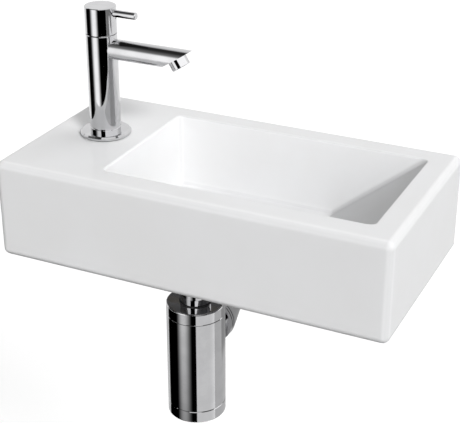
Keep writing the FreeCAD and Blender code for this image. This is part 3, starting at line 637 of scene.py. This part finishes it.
def softened(corners: list[tuple[float, float]], radius: float, steps: int = 5) -> np.ndarray:
    """Round every corner of a closed outline.

    A circle that touches both edges of a corner leaves them at radius / tan(half the corner's angle), and
    its middle lies radius / sin(half the angle) from the corner, on the bisector. The arc between the two
    touching points stands in for the corner. On short edges the radius shrinks, so that neighbouring arcs
    don't meet.

    Args:
        corners: pairs of radius and height, in order round the outline.
        radius: the wanted radius of the corners.
        steps: points on each arc.

    Returns:
        The rounded outline as an array of pairs.
    """
    edge_share, nearly_straight = 0.45, 0.9999
    corner = np.array(corners)
    back = np.roll(corner, 1, axis=0) - corner
    ahead = np.roll(corner, -1, axis=0) - corner
    back_length = np.linalg.norm(back, axis=1, keepdims=True)
    ahead_length = np.linalg.norm(ahead, axis=1, keepdims=True)
    back, ahead = back / back_length, ahead / ahead_length
    cosine = np.clip((back * ahead).sum(axis=1, keepdims=True), -nearly_straight, nearly_straight)
    half = np.arccos(cosine) / 2.0
    fitting = np.minimum(radius, edge_share * np.minimum(back_length, ahead_length) * np.tan(half))
    bisector = (back + ahead) / np.linalg.norm(back + ahead, axis=1, keepdims=True)
    middle = corner + bisector * fitting / np.sin(half)
    first = corner + back * fitting / np.tan(half) - middle
    last = corner + ahead * fitting / np.tan(half) - middle
    sweep = (math.pi - 2.0 * half)[:, None, :]
    share = np.linspace(0.0, 1.0, steps)[None, :, None]
    arcs = first[:, None, :] * np.sin((1.0 - share) * sweep) + last[:, None, :] * np.sin(share * sweep)
    return (middle[:, None, :] + arcs / np.sin(sweep)).reshape(-1, 2)


def finely(outline: np.ndarray, step: float) -> np.ndarray:
    """Divide the long edges of a closed outline into pieces no longer than a step.

    Args:
        outline: pairs of radius and height.
        step: the longest edge allowed.

    Returns:
        The outline with the added points.
    """
    ends = np.roll(outline, -1, axis=0)
    counts = np.ceil(np.linalg.norm(ends - outline, axis=1) / step).astype(int).clip(1)
    owner = np.repeat(np.arange(len(outline)), counts)
    share = (np.arange(len(owner)) - np.repeat(np.cumsum(counts) - counts, counts)) / counts[owner]
    return outline[owner] + share[:, None] * (ends - outline)[owner]


def turned(axis: Axis, outline: np.ndarray, sides: int, thread: Thread | None = None) -> np.ndarray:
    """A closed outline carried once round an axis.

    Each point of the outline gives a circle of its own radius and height. Where there is a thread, the wall
    at its crest's radius sinks by the thread's depth there.

    Args:
        axis: the axis.
        outline: pairs of radius and height, closed.
        sides: points on each circle.
        thread: the screw thread on one of its walls, if any.

    Returns:
        A grid of points, outline by circle.
    """
    turn = np.broadcast_to(np.arange(sides) * FULL_TURN / sides, (len(outline), sides))
    radius = np.broadcast_to(outline[:, :1], turn.shape)
    height = np.broadcast_to(outline[:, 1:], turn.shape)
    if thread is not None:
        tolerance = thread.depth / 100.0
        wall = np.abs(radius - thread.crest) < tolerance
        radius = radius - np.where(wall, thread.sink(turn, height), 0.0)
    return axis.place(radius, turn, height)


def closed_mesh(name: str, grid: np.ndarray) -> bpy.types.Mesh:
    """Make a mesh of a grid that is closed both ways, with its faces turned outwards.

    Each grid point is joined to the next along both directions. The sum of the signed volumes under the
    faces tells whether the grid is inside out, and then its faces are turned round.

    Args:
        name: the mesh's name.
        grid: an array of points, row by column by coordinate.

    Returns:
        The mesh, smooth apart from its sharp edges.
    """
    rows, columns = grid.shape[:2]
    number = np.arange(rows * columns).reshape(rows, columns)
    quads = np.stack([number, np.roll(number, -1, 0), np.roll(np.roll(number, -1, 0), -1, 1),
                      np.roll(number, -1, 1)], axis=-1).reshape(-1, 4)
    points = grid.reshape(-1, 3)
    corners = (points - points.mean(axis=0))[quads]
    one, two, three, four = corners.transpose(1, 0, 2)
    outward = (np.cross(three - one, four - two) * corners.mean(axis=1)).sum()
    mesh = bpy.data.meshes.new(name)
    mesh.from_pydata(points.tolist(), [], (quads if outward > 0.0 else quads[:, ::-1]).tolist())
    tidy = bmesh.new()
    tidy.from_mesh(mesh)
    bmesh.ops.remove_doubles(tidy, verts=tidy.verts, dist=MERGE_DISTANCE)
    loose = [edge for edge in tidy.edges if not edge.link_faces]
    bmesh.ops.delete(tidy, geom=loose, context="EDGES")
    tidy.to_mesh(mesh)
    tidy.free()
    mesh.shade_smooth()
    mesh.set_sharp_from_angle(angle=SHARP_ANGLE)
    return mesh


@dataclass
class Workshop:
    """Keeps the finishes, and hands pieces their body and the finish of their slot."""

    finishes: dict[Slot, bpy.types.Material]

    def dress(self, slot: Slot, *nodes: str) -> None:
        """Give CAD nodes that keep their shape the finish of a slot.

        Args:
            slot: where the finish comes from.
            nodes: the nodes' names.
        """
        for node in nodes:
            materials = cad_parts[node].data.materials
            for number in range(len(materials)):
                materials[number] = self.finishes[slot]
            log.info("%s: CAD shape, %s finish", node, slot.value)

    def make(self, name: str, grid: np.ndarray, slot: Slot, moves: Moves,
             stands_for: tuple[str, ...] = ()) -> None:
        """Put a new piece into the scene.

        Args:
            name: the piece's name.
            grid: its closed surface.
            slot: where its finish comes from.
            moves: the body that it moves with.
            stands_for: the CAD nodes that it replaces.
        """
        piece = put(name, closed_mesh(name, grid))
        piece.data.materials.append(self.finishes[slot])
        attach(piece, moves.value)
        if stands_for:
            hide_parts(*stands_for)
        log.info("%s: new surface of %d faces, %s finish", name, len(piece.data.polygons), slot.value)


@dataclass(frozen=True)
class SoftRing:
    """A moulded rubber ring with rounded edges."""

    node: str
    moves: Moves = Moves.FIXED
    edge: float = 0.45 * MM
    sides: int = 128

    def build(self, shop: Workshop, axis: Axis) -> None:
        """Make the ring in the space of its CAD node.

        Args:
            shop: the workshop.
            axis: the ring's axis.
        """
        (bore, rim), (low, high) = axis.spans(self.node)
        outline = softened([(bore, low), (rim, low), (rim, high), (bore, high)], self.edge)
        grid = turned(axis, outline, self.sides)
        shop.make(self.node + "_soft", grid, Slot.RUBBER, self.moves, (self.node,))


@dataclass(frozen=True)
class HexNut:
    """A six-sided nut with its corners turned off at both ends.

    The inside is given from the top down, as pairs of radius and height above the nut's lower face.
    """

    node: str
    slot: Slot
    inside: tuple[tuple[float, float], ...]
    turned_to: float = 0.96
    turned_slope: float = math.radians(30.0)
    rows: int = 14
    sides: int = 192

    def build(self, shop: Workshop) -> None:
        """Make the nut in the space of its CAD node.

        At each turn the flat lies at half the width across flats / cos(angle from the middle of the flat).
        A cone at each end, steeper than the end face by the turned slope, cuts the corners off, and the
        smaller radius holds.

        Args:
            shop: the workshop.
        """
        low, high = (np.array(corner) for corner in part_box(self.node))
        across = (high[1] - low[1]) / 2.0
        turn = (np.arange(self.sides) + 0.5) * FULL_TURN / self.sides
        flat = across / np.cos(np.mod(turn, FULL_TURN / 6.0) - FULL_TURN / 12.0)
        cut = (flat.max() - self.turned_to * across) * math.tan(self.turned_slope)
        depth = np.linspace(0.0, cut, self.rows)
        cone = self.turned_to * across + depth / math.tan(self.turned_slope)
        lower = np.minimum(flat[None, :], cone[:, None])
        inner = np.array(self.inside)
        bore = np.broadcast_to(inner[:, :1], (len(inner), self.sides))
        radius = np.concatenate([lower, lower[::-1], bore])
        height = np.concatenate([low[2] + depth, high[2] - depth[::-1], low[2] + inner[:, 1]])
        grid = Axis.upright(self.node).place(radius, np.broadcast_to(turn, radius.shape),
                                             np.broadcast_to(height[:, None], radius.shape))
        shop.make(self.node + "_hex", grid, self.slot, Moves.FIXED, (self.node,))


@dataclass(frozen=True)
class SlottedScrew:
    """A screw with a domed head and a slot in it."""

    node: str
    shank: float
    head_height: float
    slot_width: float
    slot_depth: float
    slot_reach: float
    pitch: float
    thread_depth: float
    crown: float
    edge: float = 0.35 * MM
    dome_rows: int = 12
    sides: int = 192

    def build(self, shop: Workshop) -> None:
        """Make the screw in the space of its CAD node.

        From the tip the shank runs up with its thread to the head. The head's top is a shallow dome: it
        drops by the crown times the square of the share of the head's radius. The slot's rim at each turn
        is the shorter of its reach / |cos| and half its width / |sin|, and its floor is flat.

        Args:
            shop: the workshop.
        """
        axis = Axis.upright(self.node)
        (_, head), (low, high) = axis.spans(self.node)
        under, brim = high - self.head_height, high - self.crown
        tip = 2.0 * self.edge
        rows = math.ceil((under - low - tip) / self.pitch * STEPS_PER_PITCH) + 1
        turn = (np.arange(self.sides) + 0.5) * FULL_TURN / self.sides
        turns, heights = np.meshgrid(turn, np.linspace(low + tip, under, rows))
        thread = Thread(self.shank, self.pitch, self.thread_depth, low, under - self.pitch)
        shank = self.shank - thread.sink(turns, heights)
        half_slot = self.slot_width / 2.0
        slot = np.minimum(self.slot_reach / np.abs(np.cos(turn)), half_slot / np.abs(np.sin(turn)))
        share = np.linspace(0.0, 1.0, self.dome_rows)[:, None]
        dome = (1.0 - share) * (head - self.edge) + share * slot[None, :]
        floor = np.full(self.sides, high - self.slot_depth)
        level = np.ones(self.sides)
        radius = np.concatenate([[0.0 * level, (self.shank - tip) * level], shank,
                                 [(head - self.edge) * level, head * level, head * level],
                                 dome, [slot, 0.0 * level]])
        height = np.concatenate([[low * level, low * level], heights,
                                 [under * level, (under + self.edge) * level, (brim - self.edge) * level],
                                 high - self.crown * (dome / head) ** 2, [floor, floor]])
        grid = axis.place(radius, np.broadcast_to(turn, radius.shape), height)
        shop.make(self.node + "_slotted", grid, Slot.STEEL, Moves.FIXED, (self.node,))


@dataclass
class Casting:
    """The basin itself, which keeps its CAD shape."""

    node: str = "basin"

    def build(self, shop: Workshop) -> None:
        """Dress the casting in glaze."""
        shop.dress(Slot.GLAZE, self.node)


@dataclass
class Waste:
    """The strainer, the tail under the bowl and what seals and couples them."""

    pitch: float = 2.309 * MM
    thread_depth: float = 1.479 * MM
    tail_bore: float = 17.5 * MM
    flange_edge: float = 3.0 * MM
    thread_radius: float = 20.95 * MM
    sides: int = 96
    arm_width: float = 5.0 * MM
    boss: float = 6.0 * MM
    screw_hole: float = 3.05 * MM
    spider_depth: float = 10.0 * MM
    spider_height: float = 6.0 * MM
    edge: float = 0.5 * MM
    screw: SlottedScrew = SlottedScrew(
        "waste_screw", shank=3.0 * MM, head_height=2.5 * MM, slot_width=1.6 * MM, slot_depth=1.4 * MM,
        slot_reach=4.9 * MM, pitch=1.0 * MM, thread_depth=0.61 * MM, crown=0.8 * MM)
    coupling: HexNut = HexNut("coupling_nut", Slot.CHROME, (
        (21.6 * MM, 19.0 * MM),
        (21.0 * MM, 18.4 * MM),
        (21.0 * MM, 3.0 * MM),
        (16.3 * MM, 3.0 * MM),
        (16.3 * MM, 0.5 * MM),
        (16.8 * MM, 0.0 * MM),
    ))

    def build(self, shop: Workshop) -> None:
        """Make the threaded tail, its spider, screw, nut and seals, and dress the rest.

        Args:
            shop: the workshop.
        """
        axis = Axis.upright("waste_tail")
        (_, flange), (low, high) = axis.spans("waste_tail")
        outline = finely(softened([
            (self.tail_bore, low),
            (self.thread_radius, low),
            (self.thread_radius, high - self.flange_edge),
            (flange, high - self.flange_edge),
            (flange, high),
            (self.thread_radius - self.flange_edge / 4.0, high),
            (self.tail_bore, high - self.flange_edge),
        ], self.edge), self.pitch / STEPS_PER_PITCH)
        thread = Thread(self.thread_radius, self.pitch, self.thread_depth, low, high - self.flange_edge)
        grid = turned(axis, outline, self.sides, thread)
        shop.make("waste_tail_threaded", grid, Slot.CHROME, Moves.FIXED, ("waste_tail",))
        shop.make("waste_spider", self.spider(axis, high - self.spider_depth), Slot.CHROME, Moves.FIXED)
        self.screw.build(shop)
        self.coupling.build(shop)
        for node in ("strainer_seal", "tail_seal", "coupling_washer"):
            SoftRing(node).build(shop, axis)
        shop.dress(Slot.CHROME, "strainer", "inlet_tube")

    def spider(self, axis: Axis, top: float) -> np.ndarray:
        """The cross that takes the centre screw.

        Its outline at each turn is the farthest of two crossed bars and a round boss: a bar reaches the
        shorter of reach / |cos| and half its width / |sin|. The outline is carried up over a bevelled edge.

        Args:
            axis: the drain's axis.
            top: the height of its upper face.

        Returns:
            A grid of points.
        """
        sides = 4 * self.sides
        turn = (np.arange(sides) + 0.5) * FULL_TURN / sides
        cosine, sine = np.abs(np.cos(turn)), np.abs(np.sin(turn))
        reach, half = self.tail_bore + self.flange_edge / 2.0, self.arm_width / 2.0
        bar = np.minimum(reach / cosine, half / sine)
        crossbar = np.minimum(reach / sine, half / cosine)
        star = np.maximum(np.maximum(bar, crossbar), self.boss)
        low, bevel = top - self.spider_height, self.edge
        hole = np.full(sides, self.screw_hole)
        radius = np.stack([hole, star - bevel, star, star, star - bevel, hole])
        height = np.array([low, low, low + bevel, top - bevel, top, top])
        return axis.place(radius, np.broadcast_to(turn, radius.shape),
                          np.broadcast_to(height[:, None], radius.shape))


@dataclass
class BottleTrap:
    """The trap under the bowl, with its cleaning cup and the pipe to the wall."""

    gland_neck: float = 17.2 * MM
    gland_step: float = 2.0 * MM
    gland_round: float = 0.35 * MM
    sides: int = 128

    def build(self, shop: Workshop) -> None:
        """Make the soft sealing rings and dress the rest.

        Args:
            shop: the workshop.
        """
        axis = Axis.upright("tube_gland")
        (bore, flange), (low, high) = axis.spans("tube_gland")
        outline = softened([
            (bore, low),
            (flange, low),
            (flange, low + self.gland_step),
            (self.gland_neck, low + self.gland_step),
            (self.gland_neck, high),
            (bore, high),
        ], self.gland_round)
        grid = turned(axis, outline, self.sides)
        shop.make("tube_gland_soft", grid, Slot.RUBBER, Moves.FIXED, ("tube_gland",))
        SoftRing("cup_seal", Moves.CUP_RING).build(shop, axis)
        SoftRing("outlet_seal").build(shop, Axis.level("outlet_seal"))
        shop.dress(Slot.CHROME, "trap_cap", "trap_body", "cleaning_cup", "outlet_nut", "outlet_pipe")


@dataclass
class Tap:
    """The tap: its body, what clamps it to the deck, its valve and its nozzle."""

    pitch: float = 1.814 * MM
    thread_depth: float = 1.162 * MM
    bevel: float = 0.6 * MM
    sides: int = 72
    lock_nut: HexNut = HexNut("lock_nut", Slot.BRASS, (
        (11.4 * MM, 10.0 * MM),
        (10.5 * MM, 9.1 * MM),
        (10.5 * MM, 0.9 * MM),
        (11.4 * MM, 0.0 * MM),
    ))

    def build(self, shop: Workshop) -> None:
        """Make the threaded shank, its nut and the rubber rings, and dress the rest.

        Args:
            shop: the workshop.
        """
        axis = Axis.upright("tap_shank")
        (bore, crest), (low, high) = axis.spans("tap_shank")
        outline = finely(softened([(bore, low), (crest, low), (crest, high), (bore, high)], self.bevel),
                         self.pitch / STEPS_PER_PITCH)
        thread = Thread(crest, self.pitch, self.thread_depth, low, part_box("basin")[1][2])
        grid = turned(axis, outline, self.sides, thread)
        shop.make("tap_shank_threaded", grid, Slot.BRASS, Moves.FIXED, ("tap_shank",))
        self.lock_nut.build(shop)
        for node in ("base_gasket", "clamp_rubber", "seat_seal"):
            SoftRing(node).build(shop, axis)
        SoftRing("spindle_seal", Moves.HANDLE).build(shop, axis)
        shop.dress(Slot.CHROME, "tap_flange", "tap_column", "handle_cap", "lever_pin", "aerator_housing")
        shop.dress(Slot.BRASS, "headwork", "spindle")
        shop.dress(Slot.STEEL, "clamp_plate", "grub_screw")
        shop.dress(Slot.RUBBER, "aerator_washer")
        shop.dress(Slot.CERAMIC, "fixed_disc", "moving_disc")
        shop.dress(Slot.PLASTIC, "aerator_insert")


@dataclass(frozen=True)
class Card:
    """A curved studio card that only mirror surfaces see.

    Bearings run from straight in front (-Y) towards +X and heights above the horizon, both in degrees. The
    feather is how far the card fades in from its low and high bearing and from its low and high height, in
    degrees too. A one-sided card shows only on the side that faces its middle.
    """

    name: str
    bearing: Span
    height: Span
    tone: float
    feather: tuple[float, float, float, float]
    one_sided: bool = False
    rows: int = 24
    columns: int = 64

    def build(self, middle: Point, distance: float) -> None:
        """Make the card as a patch of a sphere.

        A point is middle + distance * (sin b cos h, -cos b cos h, sin h) for bearing b and height h.

        Args:
            middle: the point that the card faces.
            distance: how far from it the card hangs.
        """
        turn, lift = np.meshgrid(np.linspace(*self.bearing, self.columns),
                                 np.linspace(*self.height, self.rows))
        bearing, height = np.radians(turn), np.radians(lift)
        direction = np.stack([np.sin(bearing) * np.cos(height), -np.cos(bearing) * np.cos(height),
                              np.sin(height)], axis=-1)
        points = (np.array(middle) + distance * direction).reshape(-1, 3)
        number = np.arange(turn.size).reshape(turn.shape)
        quads = np.stack([number[:-1, :-1], number[:-1, 1:], number[1:, 1:], number[1:, :-1]], axis=-1)
        mesh = bpy.data.meshes.new(self.name)
        mesh.from_pydata(points.tolist(), [], quads.reshape(-1, 4).tolist())
        spread = np.stack([turn, lift], axis=-1).reshape(-1, 2)
        layer = mesh.uv_layers.new(name="degrees")
        layer.data.foreach_set("uv", spread[quads.reshape(-1)].astype(np.float32).ravel())
        mesh.materials.append(self.material())
        card = put(self.name, mesh)
        for ray in ("camera", "diffuse", "transmission", "volume_scatter", "shadow"):
            setattr(card, "visible_" + ray, False)

    def material(self) -> bpy.types.Material:
        """Make a plain glowing material that fades out at the card's edges.

        Returns:
            The material.
        """
        sheet = FinishSheet(self.name)
        sheet.tree.nodes.remove(sheet.shader)
        glow = sheet.add("ShaderNodeEmission")
        glow.inputs["Color"].default_value = (1.0, 1.0, 1.0, 1.0)
        glow.inputs["Strength"].default_value = self.tone
        clear = sheet.add("ShaderNodeBsdfTransparent")
        turn, lift, _ = sheet.split(sheet.add("ShaderNodeTexCoord").outputs["UV"])
        solid = None
        sides = (turn, turn, lift, lift)
        edges = self.bearing + self.height
        for side, edge, inwards, fade in zip(sides, edges, (1.0, -1.0, 1.0, -1.0), self.feather):
            rise = sheet.spread(side, (edge, edge + inwards * fade), (0.0, 1.0))
            solid = rise if solid is None else sheet.work("MULTIPLY", solid, rise)
        if self.one_sided:
            facing = sheet.add("ShaderNodeNewGeometry").outputs["Backfacing"]
            solid = sheet.work("MULTIPLY", solid, facing)
        mix = sheet.add("ShaderNodeMixShader")
        sheet.join(solid, mix.inputs["Fac"])
        sheet.join(clear.outputs["BSDF"], mix.inputs[1])
        sheet.join(glow.outputs["Emission"], mix.inputs[2])
        sheet.join(mix.outputs["Shader"], sheet.output.inputs["Surface"])
        return sheet.material


@dataclass(frozen=True)
class Stand:
    """A point by the object that cards hang round, and how far from it they hang."""

    middle: Point
    distance: float

    def hang(self, *cards: Card, nearer: float = 0.0) -> None:
        """Hang cards round the point, nearer by a length where they stand in front of others."""
        for card in cards:
            card.build(self.middle, self.distance - nearer)


@dataclass(frozen=True)
class Lamp:
    """A far, soft lamp that lights matt surfaces evenly."""

    name: str
    towards: Point
    strength: float
    softness: float

    def build(self) -> None:
        """Put the lamp into the scene, turned so that its light comes from its direction."""
        light = bpy.data.lights.new(self.name, "SUN")
        light.energy = self.strength
        light.angle = math.radians(self.softness)
        lamp = put(self.name, light)
        x, y, z = self.towards
        lamp.rotation_euler = (math.atan2(math.hypot(x, y), z), 0.0, math.atan2(x, -y))
        lamp.visible_glossy = False


@dataclass
class Studio:
    """A white studio: floor, surround, lamps, cards for the chrome and the camera."""

    rim_height: float = 0.85
    floor_reach: float = 12.0
    floor_tone: float = 0.40
    floor_lift: float = 0.70
    fill: float = 0.01
    floor_bounce: float = 0.13
    tap: Stand = Stand((-0.1405, -0.096, 0.13), 1.3)
    lever: Stand = Stand((-0.028, -0.0825, 0.2986), 0.15)
    spout: Stand = Stand((-0.0303, -0.097, 0.0545), 0.15)
    trap: Stand = Stand((-0.0395, -0.1, -0.17), 0.6)
    plate: Stand = Stand((-0.0395, -0.1, -0.125), 0.16)
    outlet: Stand = Stand((-0.0395, -0.04, -0.144), 0.2)
    nozzle_distance: float = 1.0
    card_gap: float = 0.04
    camera_place: Point = (0.461, -1.067, 0.528)
    camera_pitch: float = 25.9
    camera_yaw: float = 25.5
    camera_lens: float = 95.0
    camera_sensor: float = 36.0

    def build(self, rim: float) -> None:
        """Set the studio up.

        Args:
            rim: the height of the basin's rim in the frame.
        """
        self.lay_floor(rim - self.rim_height)
        self.light_surround()
        self.hang_lamps()
        self.hang_cards()
        self.aim_camera()

    def lay_floor(self, height: float) -> None:
        """Lay a pale floor that reads as white and keeps the object's shadow.

        Args:
            height: the floor's height in the frame.
        """
        sheet = FinishSheet("studio_floor")
        seen = sheet.seen_ray()
        pale, dim = (self.floor_tone,) * 3, (self.floor_bounce,) * 3
        sheet.join(sheet.between(seen, dim, pale), sheet.shader.inputs["Base Color"])
        sheet.fix(roughness=0.9, specular_ior_level=0.0, emission_color=(1.0, 1.0, 1.0, 1.0))
        sheet.join(sheet.work("MULTIPLY", seen, self.floor_lift), sheet.shader.inputs["Emission Strength"])
        clear = sheet.add("ShaderNodeBsdfTransparent")
        mix = sheet.add("ShaderNodeMixShader")
        sheet.join(sheet.add("ShaderNodeNewGeometry").outputs["Backfacing"], mix.inputs["Fac"])
        sheet.join(sheet.shader.outputs["BSDF"], mix.inputs[1])
        sheet.join(clear.outputs["BSDF"], mix.inputs[2])
        sheet.join(mix.outputs["Shader"], sheet.output.inputs["Surface"])
        reach = self.floor_reach
        corners = [(x * reach, y * reach, height) for x, y in ((-1, -1), (1, -1), (1, 1), (-1, 1))]
        mesh = bpy.data.meshes.new("studio_floor")
        mesh.from_pydata(corners, [], [(0, 1, 2, 3)])
        mesh.materials.append(sheet.material)
        put("studio_floor", mesh)

    def light_surround(self) -> None:
        """Make the world white where it is seen, and only a faint fill light elsewhere."""
        world = bpy.data.worlds.new("studio_surround")
        bpy.context.scene.world = world
        world.use_nodes = True
        sheet = NodeSheet(world.node_tree)
        background = sheet.add("ShaderNodeBackground")
        background.inputs["Color"].default_value = (1.0, 1.0, 1.0, 1.0)
        sheet.join(sheet.work("MAXIMUM", sheet.seen_ray(), self.fill), background.inputs["Strength"])
        output = sheet.add("ShaderNodeOutputWorld")
        sheet.join(background.outputs["Background"], output.inputs["Surface"])

    def hang_lamps(self) -> None:
        """Hang a small key lamp, soft boxes in front and behind, and a level lamp on the left."""
        for lamp in (
            Lamp("key_lamp", (0.648, -0.470, 0.60), 1.95, 15.0),
            Lamp("front_right_soft_box", (0.5, -0.8, 0.33), 1.55, 60.0),
            Lamp("low_left_soft_box", (-0.5, -0.85, -0.2), 0.81, 90.0),
            Lamp("back_right_soft_box", (0.6, 0.5, 0.6), 0.85, 60.0),
            Lamp("back_soft_box", (0.2, 0.5, 0.84), 0.57, 60.0),
            Lamp("back_left_soft_box", (-0.6, 0.5, 0.6), 0.27, 90.0),
            Lamp("left_lamp", (-1.0, 0.3, -0.03), 1.2, 3.0),
        ):
            lamp.build()

    def hang_cards(self) -> None:
        """Hang the cards that give the chrome its light and dark bands, soft boxes in front of the flags."""
        self.tap.hang(
            Card("tap_flag", (-58.0, 72.0), (-32.0, 42.0), 0.0, (3.0, 3.0, 3.0, 3.0)),
            Card("tap_left_flag", (-100.0, -54.0), (-32.0, 25.0), 0.0, (16.0, 3.0, 3.0, 2.0)),
            Card("tap_grey", (69.0, 120.0), (-32.0, 30.0), 0.26, (4.0, 16.0, 3.0, 6.0)),
            Card("tap_ceiling_flag", (-150.0, 0.0), (36.0, 80.0), 0.03, (40.0, 10.0, 4.0, 6.0)))
        self.tap.hang(
            Card("tap_soft_box", (-52.0, 13.0), (-32.0, 42.0), 1.48, (28.0, 25.0, 4.0, 26.0)),
            nearer=self.card_gap)
        self.tap.hang(
            Card("tap_sky", (-80.0, 0.0), (30.0, 66.0), 0.2, (20.0, 10.0, 8.0, 28.0)),
            nearer=self.card_gap / 2.0)
        Stand(tuple(middle_of("aerator_housing")), self.nozzle_distance).hang(
            Card("nozzle_flag", (-12.0, 22.0), (-13.0, 22.0), 0.0, (2.0, 2.0, 3.0, 3.0)),
            Card("nozzle_soft_box", (21.0, 165.0), (4.0, 36.0), 1.6, (2.0, 45.0, 3.0, 3.0)))
        # Painted reflections: dark one-sided cards hung where the lever is; the spout's card stands in for
        # the lever's shaded underside as the spout mirrors it.
        self.lever.hang(
            Card("lever_painted_shade", (-91.6, -74.4), (-57.8, -48.2), 0.0, (1.0, 1.5, 0.8, 0.8), one_sided=True))
        self.spout.hang(
            Card("spout_painted_lever_shade", (-96.5, -81.5), (51.2, 63.6), 0.015, (6.0, 2.0, 1.0, 1.0), one_sided=True))
        self.trap.hang(
            Card("trap_floor", (22.0, 108.0), (-70.0, -16.0), 0.86, (1.5, 30.0, 4.0, 4.0)),
            nearer=-self.card_gap)
        self.trap.hang(
            Card("trap_flag", (-112.0, 27.5), (-70.0, -16.0), 0.0, (14.0, 1.5, 4.0, 4.0)),
            Card("trap_grey", (101.0, 252.0), (-70.0, -16.0), 0.63, (2.0, 8.0, 4.0, 4.0)))
        self.trap.hang(
            Card("trap_soft_box", (-52.0, 11.0), (-60.0, -12.0), 0.85, (27.0, 31.0, 42.0, 4.0)),
            nearer=self.card_gap)
        # Painted reflection: a dark card where the trap's top plate mirrors the basin's shaded underside.
        self.plate.hang(Card("plate_painted_underside_shade", (-190.0, -110.0), (14.0, 60.0), 0.08, (10.0, 10.0, 4.0, 4.0)))
        self.outlet.hang(Card("outlet_grey", (120.0, 215.0), (-45.0, 40.0), 0.36, (8.0, 8.0, 8.0, 8.0)))

    def aim_camera(self) -> None:
        """Put the camera where the photograph was taken from."""
        data = bpy.data.cameras.new("studio_camera")
        data.lens = self.camera_lens
        data.sensor_width = self.camera_sensor
        data.sensor_fit = "HORIZONTAL"
        camera = put("studio_camera", data)
        camera.location = self.camera_place
        camera.rotation_euler = (math.radians(90.0 - self.camera_pitch), 0.0, math.radians(self.camera_yaw))
        bpy.context.scene.camera = camera


def make_finishes() -> dict[Slot, bpy.types.Material]:
    """Make one material for each slot of the record.

    Returns:
        The materials by slot.
    """
    low, high = (np.array(corner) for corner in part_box("basin"))
    tap_axis = Axis.upright("tap_shank").foot[:2]
    return {
        Slot.GLAZE: Glaze().material(low, high),
        Slot.CHROME: Chrome().material(),
        Slot.BRASS: TurnedMetal("turned_brass", (0.74, 0.57, 0.30), (0.60, 0.44, 0.21), tap_axis).material(),
        Slot.STEEL: TurnedMetal("turned_steel", (0.58, 0.58, 0.59), (0.46, 0.46, 0.47), tap_axis).material(),
        Slot.RUBBER: MouldedRubber().material(),
        Slot.CERAMIC: GroundCeramic().material(),
        Slot.PLASTIC: MouldedPlastic().material(),
    }


def main() -> None:
    """Build the sub-assemblies in order, then the studio round them."""
    logging.basicConfig(level=logging.INFO, format="%(name)s: %(message)s")
    bpy.context.scene.view_settings.view_transform = "Standard"
    shop = Workshop(make_finishes())
    for assembly in (Casting(), Waste(), BottleTrap(), Tap()):
        assembly.build(shop)
    Studio().build(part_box("basin")[1][2])


if __name__ == "__main__":
    main()
